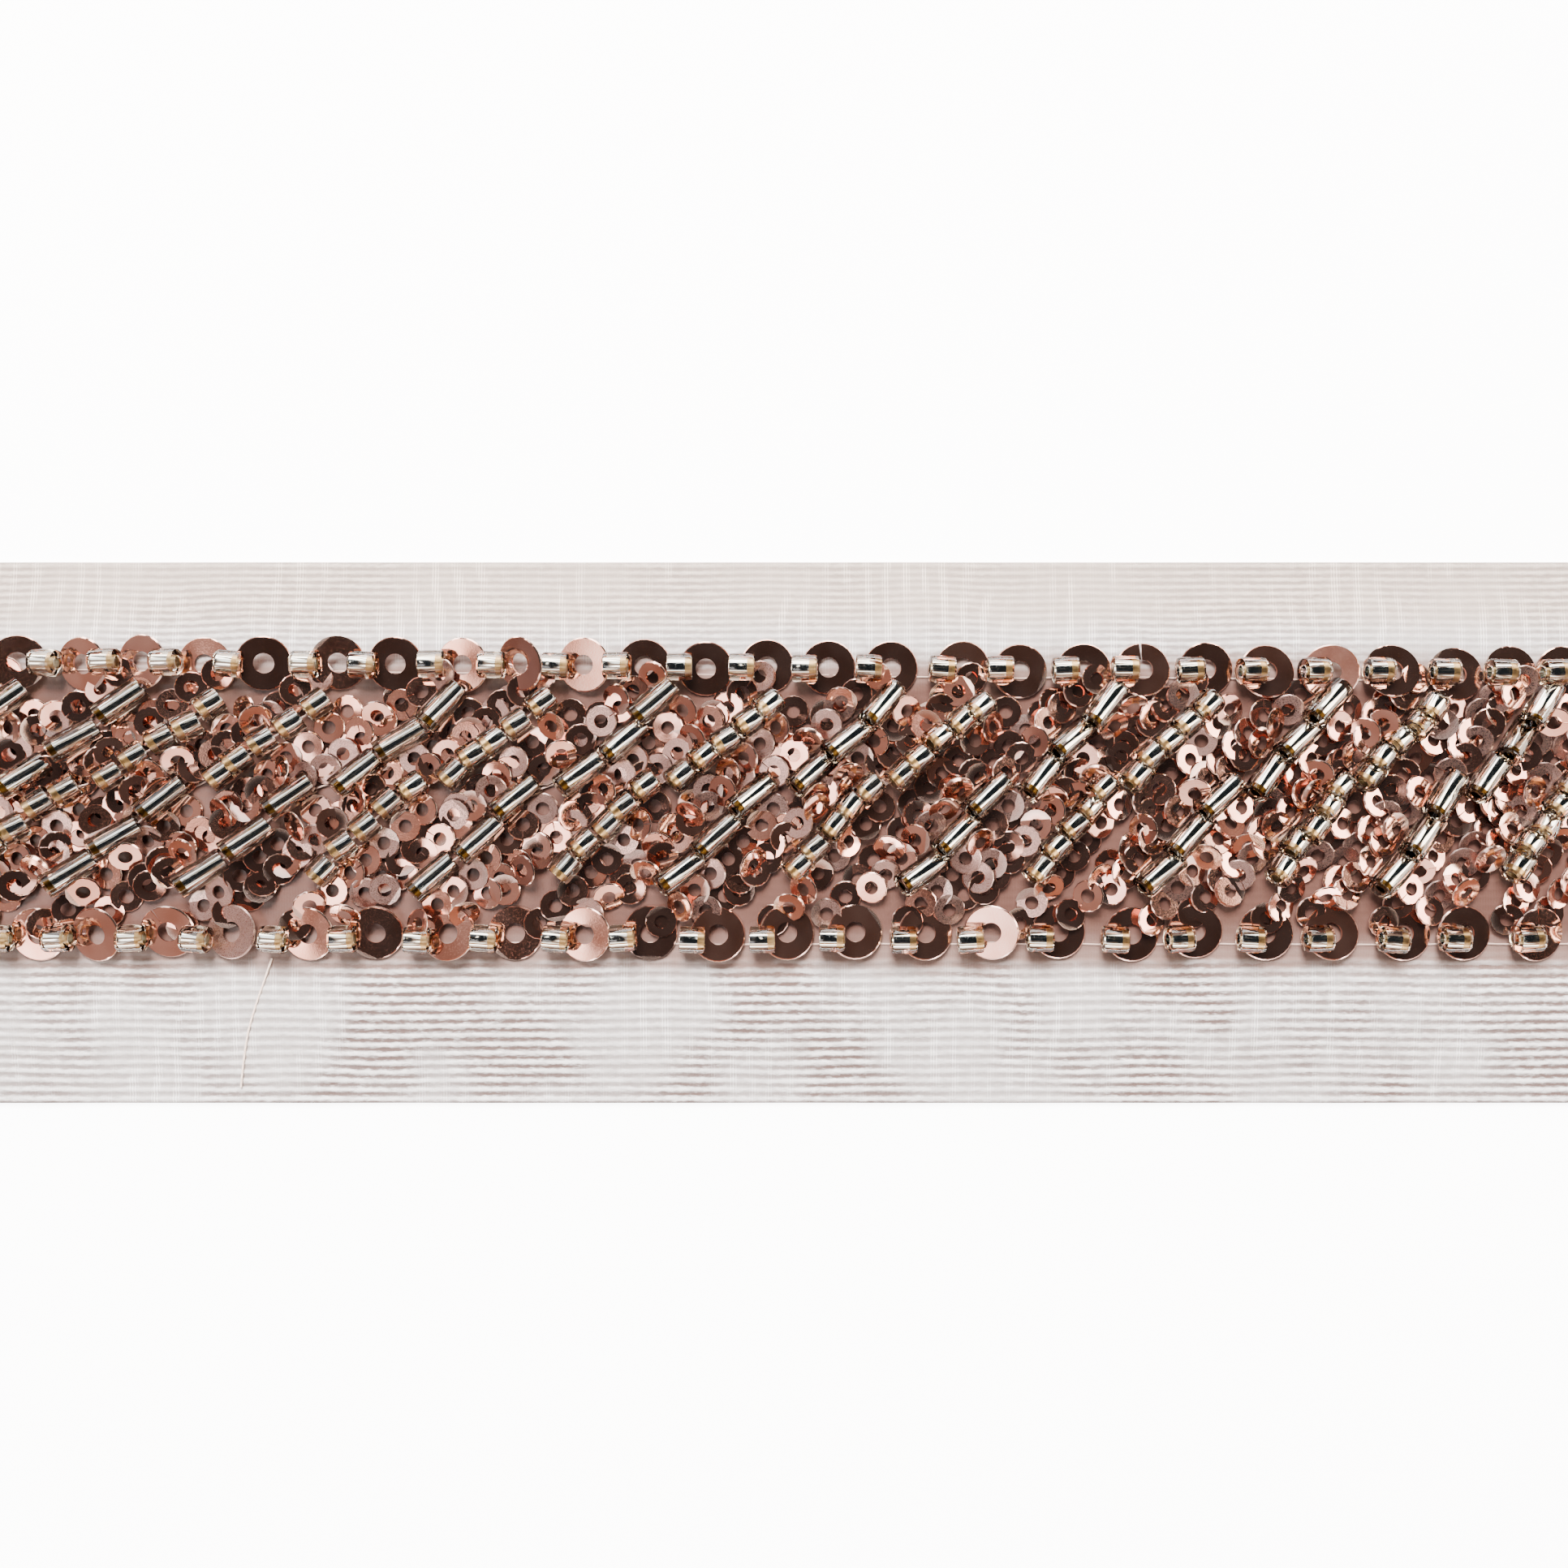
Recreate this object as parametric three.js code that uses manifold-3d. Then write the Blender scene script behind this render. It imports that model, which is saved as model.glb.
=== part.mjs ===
// Sequin trim: a flat cut length of sheer ribbed tape. Two border strings of large sequins and seed
// beads run along it, with slanted runs of bugle beads or seed beads between them and a band of small
// sequins in each space between two runs.
//
// Millimetres, +Z up, X along the tape and Y across it. The origin is in the middle of the tape's
// underside. The beadwork lies above the tape, nearer to its +Y edge.

import * as THREE from 'three';
import { mergeVertices } from 'three/addons/utils/BufferGeometryUtils.js';
import Module from 'manifold-3d';

const wasm = await Module();
wasm.setup();

// Tape
const TAPE_LENGTH = 128;
const TAPE_WIDTH = 40;
const TAPE_THICKNESS = 1;

// Clear space between any two pieces, and bare tape kept at each cut end
const PIECE_GAP = 0.3;
const END_MARGIN = 0.25;

// Faces of a joined piece that lie in one plane within this distance become one face
const FLATNESS = 0.03;

// Beads, lying on their sides, and sequins, lying flat
const SEED_BEAD = { diameter: 2.0, length: 1.9 };
const BUGLE_BEAD = { diameter: 1.85, length: 3.55 };
const BEAD_SIDES = 6;
const THREAD_DIAMETER = 0.5;
const THREAD_SIDES = 4;
const LARGE_SEQUIN = { diameter: 4.0, thickness: 0.3, sides: 8 };

// Border strings: the line they follow, the step from one sequin to the next, the X of one sequin, and
// how far before its sequin and off the line each bead lies
const BORDERS = [
  { name: 'border_upper', lineY: 12.4, pitch: 4.52, sequinX: -1.1, beadBefore: 1.75, beadY: 0 },
  { name: 'border_lower', lineY: -7.3, pitch: 5.0, sequinX: 0.2, beadBefore: 2.1, beadY: -0.35 },
];

// Bead runs: the X at which the leftmost one starts, the step to the next, and the beads of each
const RUN_PITCH = 8;
const RUN_FIRST_X = -57.1;
const RUN_COUNT = 17;
const RUN_MIDDLE = 8;
const RUN_KINDS = [
  'bugle', 'bugle', 'seed', 'mixed', 'bugle', 'seed', 'bugle', 'seed', 'bugle',
  'seed', 'bugle', 'seed', 'bugle', 'seed', 'bugle', 'seed', 'bugle',
];

// The runs fan out: from one run to the next on its right, all distances along X shrink by this share
const FAN_SHARE = 0.045;

// Beads of the middle run, from its upper right end to its lower left end. x counts from the run's
// first bead, y is across the tape, and slope is the bead's angle to X in degrees.
const BUGLE_STOPS = [
  { x: 0.1, y: 9.1, slope: 48 },
  { x: -2.2, y: 6.9, slope: 40 },
  { x: -5.05, y: 4.3, slope: 44 },
  { x: -9.2, y: 2.65, slope: 46 },
  { x: -11.9, y: -0.3, slope: 46 },
  { x: -14.7, y: -3.0, slope: 42 },
];
const SEED_STOPS = [
  { x: 0, y: 9.2, slope: 42 },
  { x: -1.4, y: 8.0, slope: 40 },
  { x: -3.0, y: 6.8, slope: 40 },
  { x: -4.5, y: 5.5, slope: 42 },
  { x: -5.8, y: 4.2, slope: 46 },
  { x: -8.4, y: 3.3, slope: 42 },
  { x: -9.9, y: 2.0, slope: 45 },
  { x: -11.2, y: 0.5, slope: 46 },
  { x: -12.7, y: -0.9, slope: 46 },
  { x: -14.0, y: -2.5, slope: 50 },
];
const UPPER_BUGLES = 3;
const UPPER_SEEDS = 5;

// Sequin bands: the middle line of one band in each tier, where x counts from half-way between the
// starts of the two runs beside it, the width along X where the fan is 1, and the scales along both
// sides. A band is narrower where the fan is wider.
const BAND_TIERS = [
  { fromX: 0.95, fromY: 10.05, toX: -4.8, toY: 5.0, scales: 2 },
  { fromX: -9.8, fromY: 2.0, toX: -16.5, toY: -4.95, scales: 2 },
];
const BAND_WIDTH = 2.9;
const SCALE_DEPTH = 0.5;
const BAND_THICKNESS = 1.3;

// The thread between a band's two tiers
const BAND_TIE_WIDTH = 0.4;
const BAND_TIE_SHIFT = 0.8;

const WORK_BOTTOM = TAPE_THICKNESS + PIECE_GAP;
const HALF_WORK = TAPE_LENGTH / 2 - END_MARGIN;
const BEAD_FLAT_SHARE = Math.cos(Math.PI / BEAD_SIDES);
const RIM_STEP = LARGE_SEQUIN.thickness + PIECE_GAP;

const FINISHES = {
  tape: { color: 0xdccfc8, roughness: 0.55, metalness: 0.0 },
  glass: { color: 0xc9a57a, roughness: 0.12, metalness: 0.6 },
  sequin: { color: 0xb98f86, roughness: 0.15, metalness: 0.9 },
};

// Turns a closed geometry into a solid that can be joined or cut.
function toSolid(geometry) {
  const bare = geometry.clone();
  bare.deleteAttribute('normal');
  bare.deleteAttribute('uv');
  const merged = mergeVertices(bare, 1e-4);
  return new wasm.Manifold(new wasm.Mesh({
    numProp: 3,
    vertProperties: new Float32Array(merged.attributes.position.array),
    triVerts: new Uint32Array(merged.index.array),
  }));
}

// Turns a solid back into a geometry.
function toGeometry(solid) {
  const mesh = solid.getMesh();
  const geometry = new THREE.BufferGeometry();
  geometry.setAttribute('position', new THREE.BufferAttribute(new Float32Array(mesh.vertProperties), 3));
  geometry.setIndex(new THREE.BufferAttribute(new Uint32Array(mesh.triVerts), 1));
  return geometry;
}

function joined(solids) {
  return solids.reduce((whole, solid) => whole.add(solid)).simplify(FLATNESS);
}

function largestBody(solid) {
  const bodies = solid.decompose();
  return bodies.reduce((best, body) => (body.volume() > best.volume() ? body : best));
}

// One prism along the direction (cos slope, sin slope), centred on x, y, z, with a flat side down.
function prism(x, y, z, slopeDegrees, diameter, length, sides) {
  const geometry = new THREE.CylinderGeometry(diameter / 2, diameter / 2, length, sides);
  geometry.rotateY(Math.PI / sides);
  geometry.rotateZ(THREE.MathUtils.degToRad(slopeDegrees) - Math.PI / 2);
  geometry.translate(x, y, z);
  return toSolid(geometry);
}

function disc(x, y, spec) {
  const radius = spec.diameter / 2;
  const geometry = new THREE.CylinderGeometry(radius, radius, spec.thickness, spec.sides);
  geometry.rotateX(Math.PI / 2);
  geometry.translate(x, y, WORK_BOTTOM + spec.thickness / 2);
  return toSolid(geometry);
}

// A straight length of thread from one bead's centre to the next.
function threadBetween(start, end) {
  const length = Math.hypot(end.x - start.x, end.y - start.y);
  const slope = THREE.MathUtils.radToDeg(Math.atan2(end.y - start.y, end.x - start.x));
  const middleX = (start.x + end.x) / 2;
  const middleY = (start.y + end.y) / 2;
  const middleZ = (start.z + end.z) / 2;
  return prism(middleX, middleY, middleZ, slope, THREAD_DIAMETER, length, THREAD_SIDES);
}

function namedMesh(name, geometry, finish) {
  const mesh = new THREE.Mesh(geometry, new THREE.MeshStandardMaterial(FINISHES[finish]));
  mesh.name = name;
  return mesh;
}

// The height of a bead's centre above the lowest point it rests on.
function beadCentreHeight(spec) {
  return (spec.diameter / 2) * BEAD_FLAT_SHARE;
}

function groundCloth() {
  const geometry = new THREE.BoxGeometry(TAPE_LENGTH, TAPE_WIDTH, TAPE_THICKNESS);
  const mesh = namedMesh('ground_cloth', geometry, 'tape');
  mesh.position.z = TAPE_THICKNESS / 2;
  return mesh;
}

// A border string: large sequins in a row, and a seed bead that overlaps two of them at each joint.
function borderString(border) {
  const beadZ = WORK_BOTTOM + LARGE_SEQUIN.thickness / 2 + beadCentreHeight(SEED_BEAD);
  const beadY = border.lineY + border.beadY;
  const reach = border.beadBefore + SEED_BEAD.length / 2;
  const solids = [];
  const steps = Math.ceil(TAPE_LENGTH / border.pitch);
  for (let step = -steps; step <= steps; step += 1) {
    const x = border.sequinX + step * border.pitch;
    const fits = x + LARGE_SEQUIN.diameter / 2 <= HALF_WORK && x - reach >= -HALF_WORK;
    if (fits) {
      const beadX = x - border.beadBefore;
      solids.push(disc(x, border.lineY, LARGE_SEQUIN));
      solids.push(prism(beadX, beadY, beadZ, 0, SEED_BEAD.diameter, SEED_BEAD.length, BEAD_SIDES));
    }
  }
  return namedMesh(border.name, toGeometry(joined(solids)), 'glass');
}

// The beads of one run in order, each with its own kind, place and slope. A mixed run has seed beads
// in its upper tier and bugle beads in its lower tier.
function runBeads(kind) {
  const bugles = BUGLE_STOPS.map((stop) => ({ ...stop, spec: BUGLE_BEAD }));
  const seeds = SEED_STOPS.map((stop) => ({ ...stop, spec: SEED_BEAD }));
  if (kind === 'bugle') {
    return bugles;
  }
  if (kind === 'seed') {
    return seeds;
  }
  return [...seeds.slice(0, UPPER_SEEDS), ...bugles.slice(UPPER_BUGLES)];
}

// How wide the run or band with this index spreads along X, where the middle run is 1.
function fanOf(index) {
  return 1 - FAN_SHARE * (index - RUN_MIDDLE);
}

// A slope in degrees, after all distances along X have been multiplied by the fan.
function fannedSlope(slope, fan) {
  const turn = THREE.MathUtils.degToRad(slope);
  return THREE.MathUtils.radToDeg(Math.atan2(Math.sin(turn), Math.cos(turn) * fan));
}

// One bead run. Its first bead rests on the rim of the upper border's sequins, and beads past the
// tape's cut ends are left off.
function beadRun(index) {
  const startX = RUN_FIRST_X + index * RUN_PITCH;
  const fan = fanOf(index);
  const beads = [];
  runBeads(RUN_KINDS[index]).forEach((stop, order) => {
    const slope = fannedSlope(stop.slope, fan);
    const turn = THREE.MathUtils.degToRad(slope);
    const reach = (stop.spec.length * Math.cos(turn) + stop.spec.diameter * Math.sin(turn)) / 2;
    const x = startX + stop.x * fan;
    if (Math.abs(x) + reach <= HALF_WORK) {
      const lift = order === 0 ? RIM_STEP : 0;
      beads.push({ ...stop, x, slope, z: WORK_BOTTOM + beadCentreHeight(stop.spec) + lift });
    }
  });
  const solids = beads.map((bead) => (
    prism(bead.x, bead.y, bead.z, bead.slope, bead.spec.diameter, bead.spec.length, BEAD_SIDES)
  ));
  for (let order = 1; order < beads.length; order += 1) {
    solids.push(threadBetween(beads[order - 1], beads[order]));
  }
  const name = `bead_run_${String(index + 1).padStart(2, '0')}`;
  return namedMesh(name, toGeometry(joined(solids)), 'glass');
}

// The outline of one tier of a band: a slanted strip whose long sides are notched into scales.
function bandOutline(middleX, fan, tier) {
  const from = new THREE.Vector2(middleX + tier.fromX * fan, tier.fromY);
  const to = new THREE.Vector2(middleX + tier.toX * fan, tier.toY);
  const halfWidth = BAND_WIDTH / fan / 2;
  const sidePoints = (side) => {
    const points = [];
    for (let half = 0; half <= 2 * tier.scales; half += 1) {
      const inset = half % 2 === 0 ? SCALE_DEPTH : 0;
      const point = from.clone().lerp(to, half / (2 * tier.scales));
      point.x += side * (halfWidth - inset);
      points.push(point);
    }
    return points;
  };
  return new THREE.Shape([...sidePoints(1), ...sidePoints(-1).reverse()]);
}

// One band of small sequins, to the right of the run with this index: its two tiers, joined by the
// thread that crosses from one to the other.
function sequinBand(index) {
  const middleX = RUN_FIRST_X + (index + 0.5) * RUN_PITCH;
  const fan = fanOf(index + 0.5);
  const solids = BAND_TIERS.map((tier) => {
    const options = { depth: BAND_THICKNESS, bevelEnabled: false };
    return toSolid(new THREE.ExtrudeGeometry(bandOutline(middleX, fan, tier), options));
  });
  const [upper, lower] = BAND_TIERS;
  const tieStartX = middleX + upper.toX * fan - BAND_TIE_SHIFT;
  const tieEndX = middleX + lower.fromX * fan + BAND_TIE_SHIFT;
  const tieStart = new THREE.Vector2(tieStartX, upper.toY + BAND_TIE_WIDTH);
  const tieEnd = new THREE.Vector2(tieEndX, lower.fromY - BAND_TIE_WIDTH);
  const tieRun = tieEnd.clone().sub(tieStart);
  const tie = new THREE.BoxGeometry(tieRun.length(), BAND_TIE_WIDTH, BAND_TIE_WIDTH);
  tie.rotateZ(tieRun.angle());
  tie.translate((tieStart.x + tieEnd.x) / 2, (tieStart.y + tieEnd.y) / 2, BAND_TIE_WIDTH / 2);
  const tapeSpan = toSolid(new THREE.BoxGeometry(2 * HALF_WORK, TAPE_WIDTH, 2 * BAND_THICKNESS));
  const band = largestBody(joined([...solids, toSolid(tie)]).intersect(tapeSpan));
  const name = `sequin_band_${String(index + 2).padStart(2, '0')}`;
  const mesh = namedMesh(name, toGeometry(band), 'sequin');
  mesh.position.z = WORK_BOTTOM;
  return mesh;
}

const trim = new THREE.Group();
trim.add(groundCloth());
BORDERS.forEach((border) => trim.add(borderString(border)));
for (let index = 0; index < RUN_COUNT; index += 1) {
  trim.add(beadRun(index));
}
for (let index = -1; index < RUN_COUNT - 1; index += 1) {
  trim.add(sequinBand(index));
}

export default trim;
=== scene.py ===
"""Sequin trim: a flat length of sheer ribbed tape, slanted runs of silver-lined glass beads with bands of
small sequins between them, and a border string of large sequins and beads along both sides.

Sizes are in millimetres in the tables and become metres where a piece is made. X runs along the tape, Y
across it, and Z up out of the beaded face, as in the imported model.
"""

import logging
import math
import random
from collections.abc import Callable, Iterator, Sequence
from contextlib import contextmanager
from dataclasses import dataclass
from enum import Enum

import bmesh
import bpy
import numpy as np
from mathutils import Matrix, Vector


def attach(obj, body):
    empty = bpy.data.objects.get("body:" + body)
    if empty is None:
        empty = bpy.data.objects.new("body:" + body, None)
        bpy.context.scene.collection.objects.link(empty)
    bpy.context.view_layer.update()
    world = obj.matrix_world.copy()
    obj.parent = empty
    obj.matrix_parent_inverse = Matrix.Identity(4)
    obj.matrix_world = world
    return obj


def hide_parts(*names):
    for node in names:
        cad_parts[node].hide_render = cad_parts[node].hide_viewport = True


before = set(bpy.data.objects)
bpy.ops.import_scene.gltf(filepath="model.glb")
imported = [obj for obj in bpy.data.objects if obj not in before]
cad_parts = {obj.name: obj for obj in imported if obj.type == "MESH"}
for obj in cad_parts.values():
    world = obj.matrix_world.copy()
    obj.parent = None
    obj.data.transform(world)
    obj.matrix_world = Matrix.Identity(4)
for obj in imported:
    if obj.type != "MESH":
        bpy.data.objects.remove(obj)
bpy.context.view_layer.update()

Feed = bpy.types.NodeSocket | float | Sequence[float]
Color = tuple[float, float, float, float]
Point = tuple[float, float, float]

LOG = logging.getLogger("sequin_trim")

MM = 0.001
BODY = "root"

# A face looks along an axis when more than this share of its normal does
SQUARE_ON = 0.9

# Corners that are nearer than this, in metres, become one
MERGE = 1e-7

TAPE_LENGTH = 128.0
TAPE_WIDTH = 40.0
END_MARGIN = 0.25

# The top of the cloth under the beadwork, and the band of it that the beadwork covers
CLOTH_TOP = 0.92
WORK_FROM_Y = -8.7
WORK_TO_Y = 13.6

# Bead runs, numbered from 0 at the left, and the fan that narrows them towards the right
RUN_PITCH = 8.0
RUN_FIRST_X = -57.1
RUN_COUNT = 17
RUN_MIDDLE = 8
FAN_SHARE = 0.045

# The first random seeds of the runs and of the bands, which count up from them
RUN_SEED = 100
BAND_SEED = 300


class BeadKind(Enum):
    """The two shapes of bead on the trim."""

    SEED = "s"
    BUGLE = "b"


class Lie(Enum):
    """How a sequin lies on the cloth, which decides what it mirrors.

    Flat and rocked ones mirror the dark card and turned ones the rosy glow on it. Lit and raised ones
    mirror the white lights, warm ones the cream light, and steep ones the far sides. Worn ones are dull.
    """

    FLAT = "k"
    ROCKED = "d"
    TURNED = "g"
    LIT = "w"
    RAISED = "p"
    STEEP = "r"
    WORN = "c"
    WARM = "m"


@dataclass(frozen=True)
class Lean:
    """The range of tilts of one lie: degrees from level, degrees of the way it faces, and wear."""

    tilt: tuple[float, float]
    facing: tuple[float, float]
    wear: float = 0.0


LEANS: dict[Lie, Lean] = {
    Lie.FLAT: Lean((0.5, 4.5), (0.0, 360.0)),
    Lie.ROCKED: Lean((8.0, 16.0), (20.0, 130.0)),
    Lie.TURNED: Lean((8.0, 16.0), (265.0, 330.0)),
    Lie.LIT: Lean((9.0, 16.0), (185.0, 230.0)),
    Lie.RAISED: Lean((10.0, 20.0), (180.0, 240.0), 0.35),
    Lie.STEEP: Lean((28.0, 46.0), (170.0, 370.0)),
    Lie.WORN: Lean((4.0, 20.0), (150.0, 300.0), 1.0),
    Lie.WARM: Lean((13.0, 23.0), (-25.0, 45.0), 0.2),
}


def deselect_all() -> None:
    """Leaves nothing selected and nothing active."""
    bpy.ops.object.select_all(action="DESELECT")
    bpy.context.view_layer.objects.active = None


def pick(item: bpy.types.Object) -> None:
    """Selects one object alone and makes it the active one."""
    deselect_all()
    item.select_set(True)
    bpy.context.view_layer.objects.active = item


@contextmanager
def editing(item: bpy.types.Object) -> Iterator[None]:
    """Holds one object open in edit mode with nothing selected.

    Args:
        item: The mesh object to shape.
    """
    pick(item)
    bpy.ops.object.mode_set(mode="EDIT")
    bpy.ops.mesh.select_all(action="DESELECT")
    yield
    bpy.ops.object.mode_set(mode="OBJECT")


def select_where(item: bpy.types.Object, level: str, test: Callable[..., bool]) -> None:
    """Selects the faces, edges or vertices of the edited mesh that pass a test.

    Args:
        item: The object that is open in edit mode.
        level: FACE, EDGE or VERT.
        test: Takes one face, edge or vertex, and says whether it is wanted.
    """
    bpy.ops.mesh.select_mode(type=level)
    bpy.ops.mesh.select_all(action="DESELECT")
    shape = bmesh.from_edit_mesh(item.data)
    members = {"FACE": shape.faces, "EDGE": shape.edges, "VERT": shape.verts}[level]
    for member in members:
        if test(member):
            member.select_set(True)
    bmesh.update_edit_mesh(item.data)


def face_outwards(item: bpy.types.Object, smooth_angle: float) -> None:
    """Merges doubles, turns all faces outwards and smooths the shading.

    Args:
        item: The mesh object to finish.
        smooth_angle: Edges sharper than this many degrees stay crisp.
    """
    with editing(item):
        bpy.ops.mesh.select_all(action="SELECT")
        bpy.ops.mesh.remove_doubles(threshold=MERGE)
        bpy.ops.mesh.normals_make_consistent(inside=False)
    bpy.ops.object.shade_smooth_by_angle(angle=math.radians(smooth_angle))


def mark(item: bpy.types.Object, trait: str, values: Sequence[float] | np.ndarray) -> None:
    """Gives every point of a mesh its own number, which the material reads.

    Args:
        item: The mesh object.
        trait: The number's name.
        values: One number for each point.
    """
    layer = item.data.attributes.new(trait, "FLOAT", "POINT")
    layer.data.foreach_set("value", np.asarray(values, np.float32).ravel())


def placed_copy(model: bpy.types.Object, place: Matrix, **traits: float) -> bpy.types.Object:
    """Copies a model with its own mesh to a place.

    Args:
        model: The object that is copied.
        place: Where the copy goes.
        traits: Values that the copy's whole mesh carries as attributes for its material.

    Returns:
        The copy, linked to the scene.
    """
    twin = model.copy()
    twin.data = model.data.copy()
    twin.matrix_world = place
    for trait, value in traits.items():
        mark(twin, trait, np.full(len(twin.data.vertices), value))
    bpy.context.scene.collection.objects.link(twin)
    return twin


def gathered(copies: Sequence[bpy.types.Object], name: str) -> bpy.types.Object:
    """Joins copies into one piece whose place is in its mesh.

    Args:
        copies: The objects to join.
        name: The piece's name.

    Returns:
        The joined object, at the origin.
    """
    deselect_all()
    for item in copies:
        item.select_set(True)
    bpy.context.view_layer.objects.active = copies[0]
    bpy.ops.object.transform_apply(location=True, rotation=True, scale=True)
    if len(copies) > 1:
        bpy.ops.object.join()
    whole = bpy.context.view_layer.objects.active
    whole.name = name
    whole.data.name = name
    return whole


def lean_matrix(tilt: float, facing: float, spin: float) -> Matrix:
    """Turns a level shape so that it leans.

    Args:
        tilt: Degrees from level.
        facing: The way the upper face leans, in degrees anticlockwise from +X.
        spin: Degrees that the shape is turned in its own plane first.

    Returns:
        The rotation as a 4x4 matrix.
    """
    way = math.radians(facing)
    axis = Vector((-math.sin(way), math.cos(way), 0.0))
    lean = Matrix.Rotation(math.radians(tilt), 4, axis)
    return lean @ Matrix.Rotation(math.radians(spin), 4, "Z")


class NodeBoard:
    """Builds one node tree from plain steps."""

    def __init__(self, tree: bpy.types.NodeTree) -> None:
        """Empties the tree.

        Args:
            tree: The material's or the world's node tree.
        """
        self.tree = tree
        tree.nodes.clear()

    def add(self, kind: str, inputs: dict | None = None, **settings: object) -> bpy.types.Node:
        """Adds one node.

        Args:
            kind: The node's type name.
            inputs: Socket names or numbers, with values or the sockets that feed them.
            settings: Properties of the node.

        Returns:
            The new node.
        """
        node = self.tree.nodes.new(kind)
        for key, value in settings.items():
            setattr(node, key, value)
        for key, value in (inputs or {}).items():
            self.feed(node.inputs[key], value)
        return node

    def feed(self, socket: bpy.types.NodeSocket, value: Feed) -> None:
        """Links a socket, or gives it a constant value."""
        if isinstance(value, bpy.types.NodeSocket):
            self.tree.links.new(value, socket)
        else:
            socket.default_value = value

    def maths(self, operation: str, *values: Feed) -> bpy.types.NodeSocket:
        """Adds a maths step over one to three numbers and returns its result."""
        node = self.add("ShaderNodeMath", dict(enumerate(values)), operation=operation)
        return node.outputs[0]

    def spread(
        self, value: Feed, low: float, high: float, start: float = 0.0, end: float = 1.0
    ) -> bpy.types.NodeSocket:
        """Eases a number from one range into another.

        Args:
            value: The number's socket.
            low: The value that gives start.
            high: The value that gives end.
            start: The result at low.
            end: The result at high.

        Returns:
            The result's socket.
        """
        inputs = {"Value": value, "From Min": low, "From Max": high, "To Min": start, "To Max": end}
        node = self.add("ShaderNodeMapRange", inputs, interpolation_type="SMOOTHSTEP")
        return node.outputs["Result"]

    def blend(self, share: Feed, first: Feed, second: Feed) -> bpy.types.NodeSocket:
        """Mixes two colours by a share and returns the mixed colour."""
        node = self.add("ShaderNodeMix", data_type="RGBA")
        self.feed(node.inputs["Factor"], share)
        self.feed(node.inputs[6], first)
        self.feed(node.inputs[7], second)
        return node.outputs[2]

    def noise(
        self, place: Feed, scale: float, detail: float = 2.0, seed: Feed = 0.0
    ) -> bpy.types.NodeSocket:
        """Adds soft noise over a place and returns its value.

        Args:
            place: The vector's socket.
            scale: Lumps to a unit of the vector.
            detail: How many finer layers it has.
            seed: A number that picks another noise.

        Returns:
            The noise value's socket.
        """
        inputs = {"Vector": place, "W": seed, "Scale": scale, "Detail": detail}
        node = self.add("ShaderNodeTexNoise", inputs, noise_dimensions="4D")
        return node.outputs["Fac"]

    def millimetres(self) -> bpy.types.NodeSocket:
        """Returns the object's own coordinates in millimetres."""
        place = self.add("ShaderNodeTexCoord").outputs["Object"]
        scaled = self.add("ShaderNodeVectorMath", {0: place, "Scale": 1.0 / MM}, operation="SCALE")
        return scaled.outputs[0]

    def attribute(self, name: str) -> bpy.types.NodeSocket:
        """Returns one number that the mesh carries."""
        return self.add("ShaderNodeAttribute", attribute_name=name).outputs["Fac"]

    def bump(self, height: Feed, distance: float, strength: float) -> bpy.types.NodeSocket:
        """Turns a height into a normal, for a relief of that many millimetres."""
        inputs = {"Height": height, "Distance": distance * MM, "Strength": strength}
        return self.add("ShaderNodeBump", inputs).outputs["Normal"]


def new_material(name: str) -> tuple[bpy.types.Material, NodeBoard]:
    """Makes an empty node material and the board that fills it."""
    material = bpy.data.materials.new(name)
    material.use_nodes = True
    return material, NodeBoard(material.node_tree)


def surface(board: NodeBoard, **inputs: Feed) -> None:
    """Ends a material in the main surface shader.

    Args:
        board: The material's board.
        inputs: The shader's sockets, with underscores for spaces.
    """
    named = {key.replace("_", " "): value for key, value in inputs.items()}
    shader = board.add("ShaderNodeBsdfPrincipled", named)
    output = board.add("ShaderNodeOutputMaterial")
    board.tree.links.new(shader.outputs["BSDF"], output.inputs["Surface"])


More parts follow.
